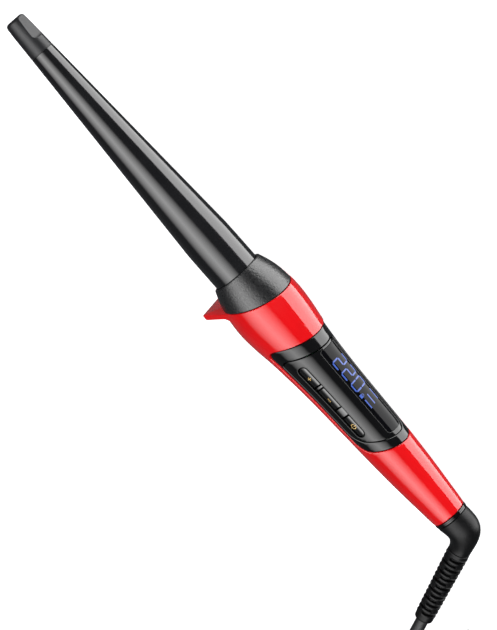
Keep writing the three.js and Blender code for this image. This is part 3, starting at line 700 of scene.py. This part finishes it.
length = shell["end"] - rim["x"]
neckAt = length - shell["neckLength"]
rows = np.unique(np.round(np.r_[  # close together at both ends and over the heel rest
    0, shell["edge"] * (1 - np.cos(np.radians([20, 40, 60, 75, 90]))), 0.8, 1.3, 1.8, 2.2, 2.4, 2.55, 2.7,
    2.85, 3.0, np.linspace(3.2, 6.3, 14), np.linspace(7, 38, 32), np.linspace(40, length - 7, 54),
    neckAt - 0.02, neckAt + 0.02, length - np.array([2, 1, 0.45, 0.3, 0.12, 0.03, 0])], 4))
lastColumn, firstColumn = shell["seam"], shell["seam"] - 360
columns = np.arange(firstColumn, lastColumn + 0.01, 3.0)
extra = [180 - a for a in (25.5, 24.4, 23.46, 22.5, 21.5)]  # the corners of the heel rest
columns = np.unique(np.round(np.r_[columns, [-a for a in extra], [a - 360 for a in extra]], 3))
columns = columns[np.r_[True, np.diff(columns) > 0.45]]
columns[0], columns[-1] = firstColumn, lastColumn
arcs = np.radians(columns) * girth
outline = [(s, arcs[0]) for s in rows] + [(rows[-1], a) for a in arcs[1:]]
outline += [(s, arcs[-1]) for s in rows[::-1][1:]] + [(0, a) for a in arcs[::-1][1:-1]]
opening = behindRim(plateLoop(panel, grow=0.3))
handleShell = wrappedPlate(
    "handle_shell_lacquered", outline, [opening], rows[1:-1], arcs[1:-1], girth, shellPlace,
    edge=shell["edge"], seam=True, spacing=0.8)
finishPiece(handleShell, redLacquer, "wand", ["handle_shell"], sharp=40)
print("handle shell made")

# control panel, sunken fascia and display
windowPlate = {"front": 49.3, "frontSlope": 0.42, "rear": 99.8, "rearSlope": 0.6, "from": -18, "to": 28,
               "cornerFront": 1.5, "cornerRear": 1.5, "thickness": 1.1}
slot = {"start": 54.1, "end": 100.6, "width": 5.3, "angle": 79}
buttons = {"plus": (54.6, 66.6), "minus": (69.1, 81.5), "power": (87.6, 100.1)}
button = {"width": 4.5, "recess": 0.45, "ridge": -1.3, "above": 0.23, "below": 0.13, "low": 11.3}


def platePlace(sunk, thickness):
    def place(x, degrees, drop, outside):
        r = panelRadius(x) - sunk
        return onWand(x, r - drop if outside else r - thickness, degrees)

    return place


def pillLoop(start, end, width, angle, cornerStart=None, cornerEnd=None):
    # a bar along the wand as (x, arc), with its own corner radius at each end
    middle = math.radians(angle) * girth
    half = width / 2
    loop = []
    for at, radius, sign in ((end, cornerEnd or half, 1), (start, cornerStart or half, -1)):
        for side in (-sign, sign):
            for a in range(0, 91, 10):
                a = math.radians(90 - a if side != sign else a)
                loop.append((at - sign * radius + sign * radius * math.cos(a),
                             middle + side * (half - radius + radius * math.sin(a))))
    return loop


fasciaOpening = plateLoop({**fascia, "front": fascia["front"] - fascia["groove"]}, grow=0.2)
near = np.arange(-112, 112.1, 4.5)
surround = wrappedPlate(
    "panel_surround", plateLoop(panel), [fasciaOpening], np.arange(36, 118, 1.6), np.radians(near) * girth,
    girth, platePlace(0, panel["thickness"]), edge=0.45, spacing=0.6)
finishPiece(surround, pianoBlack, "wand", ["control_panel"], sharp=50)
slotLoop = pillLoop(slot["start"], slot["end"], slot["width"], slot["angle"])
fasciaPlate = wrappedPlate(
    "display_fascia", plateLoop(fascia), [plateLoop(windowPlate, grow=0.1), slotLoop],
    np.arange(44, 112, 1.6), np.radians(np.arange(-22, 105, 4)) * girth, girth,
    platePlace(fascia["sunk"], fascia["thickness"]), edge=0.22, spacing=0.5)
finishPiece(fasciaPlate, pianoBlack, "wand", ["control_fascia"], sharp=50)
windowPane = wrappedPlate(
    "display_pane", plateLoop(windowPlate), [], np.arange(50, 106, 1.6),
    np.radians(np.arange(-20, 30, 3)) * girth, girth, platePlace(fascia["sunk"], windowPlate["thickness"]),
    edge=0.1, spacing=0.5)
finishPiece(windowPane, smokedAcrylic, "wand", ["display_window"], sharp=50)
print("panel made")

# buttons and their tray


def capRadius(x, arc):
    # a ridge near the edge beside the display, falling away on both sides
    d = arc - math.radians(slot["angle"]) * girth - button["ridge"]
    fall = np.maximum(-d, 0) * button["above"] + np.maximum(d, 0) * button["below"]
    return panelRadius(x) - fascia["sunk"] - button["recess"] - fall


def buttonPlace(x, degrees, drop, outside):
    top = capRadius(x, np.radians(degrees) * girth) - drop
    return onWand(x, top if outside else button["low"] + 0 * x, degrees)


slotArc = math.radians(slot["angle"]) * girth
capGrid = np.array([-1.75, -1.36, -1.24, -0.8, -0.3, 0.2, 0.7, 1.2, 1.7])
corners = {"plus": (2.1, 0.5), "minus": (0.5, 0.5), "power": (0.5, 2.1)}
for key, (start, end) in buttons.items():
    fromCorner, toCorner = corners[key]
    capLoop = pillLoop(start + 0.1, end - 0.1, button["width"], slot["angle"], fromCorner, toCorner)
    cap = wrappedPlate(f"{key}_button_cap", capLoop, [], np.arange(start, end, 0.8), slotArc + capGrid, girth,
                       buttonPlace, edge=0.2, spacing=0.35)
    finishPiece(cap, satinBlack, f"{key}_key", [f"{key}_button"], sharp=14)

# the tray shows between the buttons, a little lower than the fascia
trayRims = [(67.3, 68.4), (82.2, 86.9)]


def trayPlace(x, degrees, drop, outside):
    across = np.radians(degrees - slot["angle"]) * girth
    bridge = np.zeros_like(x)
    for start, end in trayRims:
        bridge = np.maximum(bridge, np.clip((np.minimum(x - start, end - x) + 0.25) / 0.3, 0, 1))
    crown = 0.15 * (across / 2.6) ** 2
    high = panelRadius(x) - fascia["sunk"] - button["recess"] - 0.15 - crown
    floor = np.full_like(x, 10.5)
    return onWand(x, (floor + (high - floor) * bridge - drop) if outside else floor * 0 + 9.9, degrees)


trayGrid = np.unique(np.round(np.r_[np.arange(54.5, 100.4, 0.6), [
    at + d for start, end in trayRims for at in (start, end) for d in (-0.26, -0.12, 0.06, 0.2)]], 3))
trayLoop = pillLoop(slot["start"] + 0.3, slot["end"] - 0.3, slot["width"] - 0.6, slot["angle"])
tray = wrappedPlate("button_bridge", trayLoop, [], trayGrid, slotArc + np.arange(-2.2, 2.3, 0.55), girth,
                    trayPlace, edge=0.1, spacing=0.4)
finishPiece(tray, satinBlack, "wand", ["button_tray"], sharp=40)


def strip(line, width, pointed=False):
    # the two edges of a stroke along a centre line of (x, arc) points
    line = np.array(line, float)
    along = np.gradient(line, axis=0)
    across = np.stack([-along[:, 1], along[:, 0]], 1)
    across *= (width / 2 / np.linalg.norm(along, axis=1))[:, None]
    if pointed:
        across[[0, -1]] *= 0.1
    return line + across, line - across


def straight(x0, arc0, x1, arc1, width, pointed=False):
    # a straight stroke, cut into short lengths so that it follows the surface
    share = np.linspace(0, 1, 9)
    if pointed:
        taper = width / 2 / math.hypot(x1 - x0, arc1 - arc0)
        share = np.r_[0, np.linspace(taper, 1 - taper, 7), 1]
    return strip(np.stack([x0 + (x1 - x0) * share, arc0 + (arc1 - arc0) * share], 1), width, pointed)


def arched(x, middle, radius, width, low, high):
    # part of a ring round (x, middle), between two angles
    a = np.radians(np.linspace(low, high, 25))
    return strip(np.stack([x + radius * np.cos(a), middle + radius * np.sin(a)], 1), width)


def printed(name, strokes, radius, body, material, lift=0.03):
    # strokes laid on the surface as thin closed solids
    vertices, faces = [], []
    for edges in strokes:
        first, count = len(vertices), len(edges[0])
        for height in (lift, lift - 0.09):
            for edge in edges:
                vertices += list(onWand(edge[:, 0], radius(edge[:, 0], edge[:, 1]) + height,
                                        np.degrees(edge[:, 1] / girth)))
        corners = [first, first + count, first + 3 * count, first + 2 * count]
        for a, b in zip(corners, corners[1:] + corners[:1]):
            faces += [(a + i, a + i + 1, b + i + 1, b + i) for i in range(count - 1)]
        faces += [tuple(corners), tuple(c + count - 1 for c in corners)]
    piece = meshPiece(name, vertices, faces)
    return finishPiece(piece, material, body)


iconArc = math.radians(81) * girth
iconLine = 0.38

icons = {
    "plus": [straight(60.4, iconArc, 61.2, iconArc, iconLine),
             straight(61.6, iconArc, 62.4, iconArc, iconLine),
             straight(61.4, iconArc - 1, 61.4, iconArc + 1, iconLine)],
    "minus": [straight(74.8, iconArc, 76.8, iconArc, iconLine)],
    "power": [arched(93.6, iconArc, 1.3, iconLine, -60, 240),
              straight(93.6, iconArc - 1.8, 93.6, iconArc - 0.4, iconLine)],
}
for key, strokes in icons.items():
    printed(f"{key}_icon", strokes, capRadius, f"{key}_key", goldFoil)
print("buttons made")

# lit digits and marks
display = {
    "digits": ((62.3, 2), (69.2, 2), (76.4, 0)),  # where each starts, and what it shows
    "width": 5.5, "top": -14, "bottom": 24, "stroke": 0.78,
}
segments = {0: "abcdef", 2: "abged"}
litSegments, shader = startMaterial("lit blue segments", Roughness=0.3)
shader.inputs["Base Color"].default_value = linearColour("#101c38")
place = addNode(litSegments, "TexCoord").outputs["Object"]
flicker = addNode(litSegments, "TexNoise", {"Vector": place, "Scale": 1 / (1.2 * mm), "Detail": 2})
glow = addNode(litSegments, "ValToRGB", {"Fac": flicker.outputs["Fac"]})
glow.color_ramp.elements[0].color = linearColour("#2a50c0")
glow.color_ramp.elements[1].color = linearColour("#4a78e6")
litSegments.node_tree.links.new(glow.outputs["Color"], shader.inputs["Emission Color"])
shader.inputs["Emission Strength"].default_value = 0.85


def paneRadius(x, arc):
    return panelRadius(x) - fascia["sunk"]


def digitStrokes(x, kind):
    top, bottom = (math.radians(display[k]) * girth for k in ("top", "bottom"))
    middle, t = (top + bottom) / 2, display["stroke"]
    x0, x1, clear = x + t / 2, x + display["width"] - t / 2, 0.15
    top, bottom = top + t / 2, bottom - t / 2
    ends = {"a": (x0, top, x1, top), "g": (x0, middle, x1, middle), "d": (x0, bottom, x1, bottom),
            "f": (x0, top, x0, middle), "b": (x1, top, x1, middle), "e": (x0, middle, x0, bottom),
            "c": (x1, middle, x1, bottom)}
    strokes = []
    for key in segments[kind]:
        x0, arc0, x1, arc1 = ends[key]
        dx, da = (clear, 0) if arc0 == arc1 else (0, clear)
        strokes.append(straight(x0 + dx, arc0 + da, x1 - dx, arc1 - da, t, pointed=True))
    return strokes


digits = [stroke for x, kind in display["digits"] for stroke in digitStrokes(x, kind)]
printed("display_digits", digits, paneRadius, "wand", litSegments)
bars = [(85.1, 91.6, -11.5), (86.0, 91.9, 6), (87.1, 92.4, 20)]
printed("display_bars", [straight(x0, math.radians(a) * girth, x1, math.radians(a) * girth, 0.68)
                         for x0, x1, a in bars], paneRadius, "wand", litSegments)
lockArc = math.radians(20) * girth
printed("display_lock", [straight(83.6, lockArc + 0.3, 85.6, lockArc + 0.3, 1.5),
                         arched(84.6, lockArc - 0.6, 0.75, 0.25, 180, 360)],
        paneRadius, "wand", litSegments)
print("display made")

# swivel ring, elbow and strain relief
ring = {"start": 160.3, "end": 162, "radius": 9.3, "bore": 6.1}
profile = filleted([
    (ring["start"], ring["bore"], 0), (ring["start"], ring["radius"], 0.2),
    (160.85, ring["radius"], 0.05), (160.95, ring["radius"] - 0.25, 0),
    (161.1, ring["radius"] - 0.25, 0), (161.2, ring["radius"], 0.05),
    (ring["end"], ring["radius"] - 0.08, 0.3), (ring["end"], ring["bore"], 0),
], 3)
swivelRing = turned("swivel_collar", profile, closed=True)
finishPiece(swivelRing, pianoBlack, "wand", ["swivel_ring"])

elbow = {
    "start": 162.3, "radius": 9, "endRadius": 5.7, "bend": 65.5, "bendRadius": 16, "straight": 1.63,
    "full": 5, "lean": 0.19, "neck": 5.6, "neckStart": 141,
}
relief = {
    "length": 44.03, "radius": 5.75, "endRadius": 4.85, "pitch": 2.9, "slot": 1.3, "depth": 1.5,
    "span": 150, "first": 2.6, "last": 40.3, "bulge": 0.22,
}
bendLength = elbow["straight"] + math.radians(elbow["bend"]) * elbow["bendRadius"]


def alongElbow(points, s, r, angles):
    # carries a turned grid round the bend, which is towards -y of the outlet's frame
    s, y, z = (points[..., k] for k in range(3))
    past = s - elbow["straight"]
    turnBy = np.clip(past / elbow["bendRadius"], 0, math.radians(elbow["bend"]))
    beyond = np.maximum(past - math.radians(elbow["bend"]) * elbow["bendRadius"], 0)
    x = elbow["start"] + elbow["straight"] + np.minimum(past, 0) + elbow["bendRadius"] * np.sin(turnBy)
    across = -elbow["bendRadius"] * (1 - np.cos(turnBy))
    return np.stack([x + beyond * np.cos(turnBy) + y * np.sin(turnBy),
                     across - beyond * np.sin(turnBy) + y * np.cos(turnBy), z], -1)


def elbowRadius(s):
    t = min(max((s - elbow["full"]) / (bendLength - elbow["full"]), 0), 1)
    return elbow["radius"] + (elbow["endRadius"] - elbow["radius"]) * t * t * (3 - 2 * t)


def elbowShape(points, s, r, angles):
    # in the bend the section leans outwards, so that the inside stays a gentle hollow
    lean = elbow["lean"] * np.sin(np.pi * np.clip(s / bendLength, 0, 1)) ** 2
    points[..., 1] *= 1 + lean * np.sign(points[..., 1])
    return alongElbow(points, s, r, angles)


neckStart = elbow["neckStart"] - elbow["start"]
profile = filleted([
    (neckStart, 0, 0), (neckStart, elbow["neck"], 0.4), (0, elbow["neck"], 0), (0, elbow["radius"], 0.45),
    *[(s, elbowRadius(s), 0) for s in np.linspace(0.8, bendLength - 0.3, 26)],
    (bendLength, elbow["endRadius"], 0.15), (bendLength, 0, 0),
])
cordElbow = turned("moulded_elbow", profile, 72, matrix=outletFrame, shape=elbowShape)
finishPiece(cordElbow, mouldedPvc, "cord_side", ["cord_elbow"])


def reliefShape(points, s, r, angles):
    # staggered slots part way round, each row a quarter turn from the last; the ribs bulge between
    local = s - bendLength
    row = np.floor((local - relief["first"]) / relief["pitch"])
    across = local - relief["first"] - (row + 0.5) * relief["pitch"]
    inRows = (local > relief["first"]) & (local < relief["last"])
    side = np.abs((angles - 90 * row + 45 + 90) % 180 - 90)  # two slots to a row
    wide = relief["slot"] / 2
    end = np.clip((relief["span"] / 2 - side) / 7, 0, 1)
    deep = np.clip((wide - np.abs(across)) / 0.22, 0, 1) * end
    cut = inRows * relief["depth"] * deep
    bulge = inRows * relief["bulge"] * np.cos(np.pi * np.clip(across / relief["pitch"], -0.5, 0.5) * 2) * end
    outer = np.where(r > 1, r - cut - bulge, r)
    return alongElbow(onWand(s, outer, angles), s, r, angles)


start, end = bendLength + 0.3, bendLength + relief["length"]
taper = (relief["endRadius"] - relief["radius"]) / (end - start)
stations = np.linspace(start + 0.5, end - 1, 330)
profile = [(start, 0), (start, relief["radius"] - 0.25), (start + 0.15, relief["radius"] - 0.07)]
profile += [(s, relief["radius"] + taper * (s - start)) for s in stations]
profile += [(end - 0.4, relief["endRadius"] - 0.1), (end - 0.1, relief["endRadius"] - 0.35),
            (end, relief["endRadius"] - 0.7), (end, 0)]
strainRelief = turned("slotted_relief", profile, 80, matrix=outletFrame, shape=reliefShape)
finishPiece(strainRelief, mouldedPvc, "cord_side", ["strain_relief"], sharp=38)
print("swivel and relief made")

# lead finish, coil tie and plug
finishPiece(mainsLead, sheathPvc, "cord_side", ["cord", "cord_coil", "cord_tail"])

tie = {"angle": 340, "width": 8, "thickness": 0.45, "thread": 0.6, "clear": 0.45, "round": 2.2}
# nylon hook-and-loop tape: dull black with rows of loops about half a millimetre apart
tieWeave, shader = startMaterial("woven nylon tape", Roughness=0.75, Sheen_Weight=0.3)
place = addNode(tieWeave, "TexCoord").outputs["Object"]
waves = {"Vector": place, "Scale": 6.2 / (20 * tie["thread"] * mm), "Distortion": 1.5}
warp, weft = (addNode(tieWeave, "TexWave", waves, {"bands_direction": axis}).outputs["Fac"] for axis in "XY")
threads = addNode(tieWeave, "Math", {0: warp, 1: weft}, {"operation": "MAXIMUM"})
tone = addNode(tieWeave, "ValToRGB", {"Fac": threads.outputs["Value"]})
tone.color_ramp.elements[0].color = linearColour("#070708")
tone.color_ramp.elements[1].color = linearColour("#1d1d20")
raised = addNode(tieWeave, "Bump", {"Height": threads.outputs["Value"], "Strength": 0.5, "Distance": 0.0002})
tieWeave.node_tree.links.new(tone.outputs["Color"], shader.inputs["Base Color"])
tieWeave.node_tree.links.new(raised.outputs["Normal"], shader.inputs["Normal"])

coilInner = lead["inner"] / mm - lead["radius"] / mm
coilOuter = lead["inner"] / mm + 2 * lead["radius"] / mm * lead["turns"] + lead["radius"] / mm
low, high = lead["low"] / mm - lead["radius"] / mm, lead["high"] / mm + lead["radius"] / mm
tieInner, tieOuter = coilInner - 0.5, coilOuter + tie["clear"]
tieLow, tieHigh = low - tie["clear"], high + tie["clear"]
section = filleted([
    (tieInner, high / 2, 0), (tieInner, tieHigh, tie["round"]), (tieOuter, tieHigh, tie["round"]),
    (tieOuter, tieLow, tie["round"]), (tieInner, tieLow, tie["round"]), (tieInner, high / 2, 0),
], 6)[:-1]
rowsAcross = np.linspace(-tie["width"] / 2, tie["width"] / 2, 9)
flatSection = anticlockwise(np.array(section))
count, total = len(section), len(section) * len(rowsAcross)
vertices = [(r, across, z) for inset in (0, tie["thickness"]) for across in rowsAcross
            for r, z in offsetLoop(flatSection, inset)]
faces = ringFaces(len(rowsAcross), count)
faces += [tuple(corner + total for corner in face) for face in faces]
for first in (0, total - count):  # the two edges of the tape
    for i in range(count):
        a, b = first + i, first + (i + 1) % count
        faces.append((a, a + total, b + total, b))
tieFrame = Matrix.Translation((*lead["centre"], 0)) @ Matrix.Rotation(math.radians(tie["angle"]), 4, "Z")
coilTie = meshPiece("coil_tie_tape", vertices, faces, tieFrame)
finishPiece(coilTie, tieWeave, "cord_side", ["cord_tie"])

plug = {
    "at": (-0.26471, 0.03306, 0.02079), "turn": 30.02, "neck": 18, "body": 36, "points": 48,
    "spacing": 18.6, "pinRadius": 2, "pinLength": 18.7, "sleeve": 9,
}
outlineSide = profileCurve([
    (0, 5.2), (2, 8), (5, 12.6), (9, 15.6), (14, 16.8), (20, 16.9), (28, 17.2), (32, 17.6),
    (34.4, 17.3), (36, 16.2),
])
plugAngles = [2 * math.pi * k / plug["points"] for k in range(plug["points"])]
sections = []
for d in [0, 0.6, 1.2, 2, 3, 4.5, 6, 8, 10, 13, 16, 20, 24, 28, 30, 32, 33.5, 34.6, 35.3, 35.8, 36]:
    wide = float(outlineSide(d))
    tall = float(np.interp(d, [0, 3, 9, 30, 35, 36], [5.0, 5.9, 6.8, 6.83, 6.7, 6.1]))
    grip = 0.5 * max(0, 1 - abs(d - 18) / 8) * (0.5 - 0.5 * math.cos(d * 2 * math.pi / 2.6))
    loop = []
    for a in plugAngles:
        c, s = math.cos(a), math.sin(a)
        p = 2 / (2 + 2.6 * min(d / 8, 1))
        loop.append((wide * math.copysign(abs(c) ** p, c), -plug["neck"] - d,
                     (tall - grip) * math.copysign(abs(s) ** p, s)))
    sections.append(loop)
neckLoops = []
for d, r in [
    (0, 3.5), (0.3, 3.9), (0.8, 4.05), (4, 4.3), (4.3, 3.85), (5.1, 3.85), (5.4, 4.5), (8, 4.6),
    (8.3, 4.1), (9.1, 4.1), (9.4, 4.75), (12, 4.85), (12.3, 4.3), (13.1, 4.3), (13.4, 5.0), (16, 5.1),
]:
    neckLoops.append([(r * math.cos(a), -d, r * math.sin(a)) for a in plugAngles])
loops = neckLoops + sections
vertices = [v for loop in loops for v in loop]
count = plug["points"]
faces = ringFaces(len(loops), count)
faces += [tuple(range(count)), tuple(range(len(vertices) - count, len(vertices)))]
plugFrame = Matrix.Translation(plug["at"]) @ Matrix.Rotation(math.radians(plug["turn"]), 4, "Z")
plugBody = meshPiece("plug_moulding", vertices, faces, plugFrame)
finishPiece(plugBody, mouldedPvc, "cord_side", ["plug_body"], sharp=40)
pinFrame = plugFrame @ Matrix.Rotation(-math.pi / 2, 4, "Z")
base = plug["neck"] + plug["body"] + 0.3
sleeveEnd, pinEnd, bare = base + plug["sleeve"], base + plug["pinLength"], plug["pinRadius"] - 0.12
for side, name in ((-1, "a"), (1, "b")):
    profile = filleted([
        (base, 0, 0), (base, plug["pinRadius"], 0), (sleeveEnd, plug["pinRadius"], 0.1),
        (sleeveEnd + 0.1, bare, 0), (pinEnd, bare, 1.7), (pinEnd, 0, 0),
    ])
    pin = turned(f"plug_contact_{name}", profile, 32,
                 matrix=pinFrame @ Matrix.Translation((0, side * plug["spacing"] / 2 * mm, 0)))
    finishPiece(pin, nickelPlate, "cord_side", [f"plug_pin_{name}"])
print("lead, tie and plug made")

# pieces inside, carried over from the model
# glass laminate under screened solder mask: satin green with paler tracks about 2 mm apart
solderMask, shader = startMaterial("green solder mask on glass laminate", Roughness=0.35)
place = addNode(solderMask, "TexCoord").outputs["Object"]
tracks = addNode(solderMask, "TexBrick", {"Vector": place, "Scale": 120, "Mortar Size": 0.03})
tracks.inputs["Color1"].default_value = linearColour("#14502f")
tracks.inputs["Color2"].default_value = linearColour("#1a5d38")
tracks.inputs["Mortar"].default_value = linearColour("#2f7a4d")
solderMask.node_tree.links.new(tracks.outputs["Color"], shader.inputs["Base Color"])
inside = {
    extrudedAluminium: ["heater_core"], firedCeramic: ["heater_plate"], brassStamped: [
        "temperature_sensor", "brush_live", "brush_neutral", "slip_ring_live", "slip_ring_neutral"],
    zincPlate: ["thermal_fuse", "chassis_screw_front", "chassis_screw_rear"], socketResin: ["barrel_socket"],
    solderMask: ["control_board", "button_board"],
    componentBlack: ["display_module", "triac", "plus_switch", "minus_switch", "power_switch"],
    chassisNylon: ["inner_chassis"], leadBrown: ["heater_lead_live"], leadBlue: ["heater_lead_neutral"],
}
for material, names in inside.items():
    for name in names:
        node = frame["nodes"][name]
        node.data.materials.clear()
        node.data.materials.append(material)
print("inside pieces finished")

# floor, cards and lights
scene.view_settings.view_transform = "Standard"
world = bpy.data.worlds.new("studio")
scene.world = world
world.use_nodes = True
background = world.node_tree.nodes["Background"]
background.inputs["Color"].default_value = linearColour("#f3f9ff")
# a pale room behind the floor, which gives little light of its own
byEye = addNode(world, "LightPath").outputs["Is Camera Ray"]
room = addNode(world, "MapRange", {"Value": byEye, "To Min": 0.12, "To Max": 1})
world.node_tree.links.new(room.outputs["Result"], background.inputs["Strength"])

# emulsion, rolled on: flat white; it is lit a little more for the eye than for the object
floorPaint, shader = startMaterial("matt white paint", Roughness=0.9)
shader.inputs["Base Color"].default_value = linearColour("#f6f6f6")
shader.inputs["Specular IOR Level"].default_value = 0.1
shader.inputs["Emission Color"].default_value = (1, 1, 1, 1)
byEye = addNode(floorPaint, "LightPath").outputs["Is Camera Ray"]
seen = addNode(floorPaint, "MapRange", {"Value": byEye, "To Min": 0.35, "To Max": 0.8})
floorPaint.node_tree.links.new(seen.outputs["Result"], shader.inputs["Emission Strength"])
floorMesh = bpy.data.meshes.new("floor")
floorCorners = [(x, y, -0.0002) for x, y in ((-6, -6), (6, -6), (6, 6), (-6, 6))]
floorMesh.from_pydata(floorCorners, [], [(0, 1, 2, 3)])
floor = bpy.data.objects.new("floor", floorMesh)
scene.collection.objects.link(floor)
floorMesh.materials.append(floorPaint)
floor.visible_glossy = False


def addCard(name, card):
    # a lit card that the gloss reflects: its middle lies at an angle from the camera towards the far side
    angle = math.radians(card["angle"])
    direction = towards * math.cos(angle) + sideways * math.sin(angle)
    across = -towards * math.sin(angle) + sideways * math.cos(angle)
    centre = target + direction * card["away"]
    half = card["away"] * math.tan(math.radians(card["spread"] / 2))
    long = card["length"] / 2
    mesh = bpy.data.meshes.new(name)
    mesh.from_pydata([centre + xAxis * (u * long) + across * (v * half)
                      for u, v in ((-1, -1), (1, -1), (1, 1), (-1, 1))], [], [(0, 1, 2, 3)])
    layer = mesh.uv_layers.new(name="UVMap")
    for corner, uv in zip(layer.data, ((0, 0), (1, 0), (1, 1), (0, 1))):
        corner.uv = uv
    material = bpy.data.materials.new(name)
    material.use_nodes = True
    material.node_tree.nodes.clear()
    place = addNode(material, "TexCoord").outputs["UV"]
    share = addNode(material, "SeparateXYZ", {0: place}).outputs["Y"]
    near, nearFull, far, farFull = card["soft"]  # shares of the width over which each edge fades
    fades = [addNode(material, "MapRange", {"Value": share, "From Min": a, "From Max": b}).outputs["Result"]
             for a, b in ((near, nearFull), (1 - far, 1 - farFull))]
    bounces = addNode(material, "LightPath").outputs["Diffuse Depth"]
    direct = addNode(material, "Math", {0: bounces, 1: 0.5}, {"operation": "LESS_THAN"}).outputs["Value"]
    bright = card["radiance"]
    for factor in (direct, *fades):
        bright = addNode(material, "Math", {0: factor, 1: bright}, {"operation": "MULTIPLY"}).outputs["Value"]
    light = addNode(material, "Emission", {"Color": (1, 1, 1, 1), "Strength": bright})
    addNode(material, "OutputMaterial", {"Surface": light.outputs["Emission"]})
    made = bpy.data.objects.new(name, mesh)
    scene.collection.objects.link(made)
    mesh.materials.append(material)
    made.visible_camera = False
    made.visible_diffuse = False
    made.visible_shadow = False


addCard("strip_card", {"angle": 86, "spread": 60, "away": 1.0, "length": 2.6, "radiance": 5.4,
                       "soft": (-0.01, 0, -0.01, 0)})
addCard("broad_card", {"angle": -38, "spread": 88, "away": 1.0, "length": 2.6, "radiance": 5.4,
                       "soft": (0, 0.5, 0, 0.5)})


def addLamp(name, at, power, size):
    lamp = bpy.data.objects.new(name, bpy.data.lights.new(name, "AREA"))
    scene.collection.objects.link(lamp)
    lamp.data.energy, lamp.data.size = power, size
    lamp.location = at
    lamp.rotation_mode = "QUATERNION"
    lamp.rotation_quaternion = (target - Vector(at)).to_track_quat("-Z", "Y")
    lamp.visible_glossy = False


addLamp("overhead", (0.0, 0.3, 2.6), 54, 3.2)
addLamp("front_fill", (0.3, -1.8, 1.6), 24, 2.0)
print("stage made")
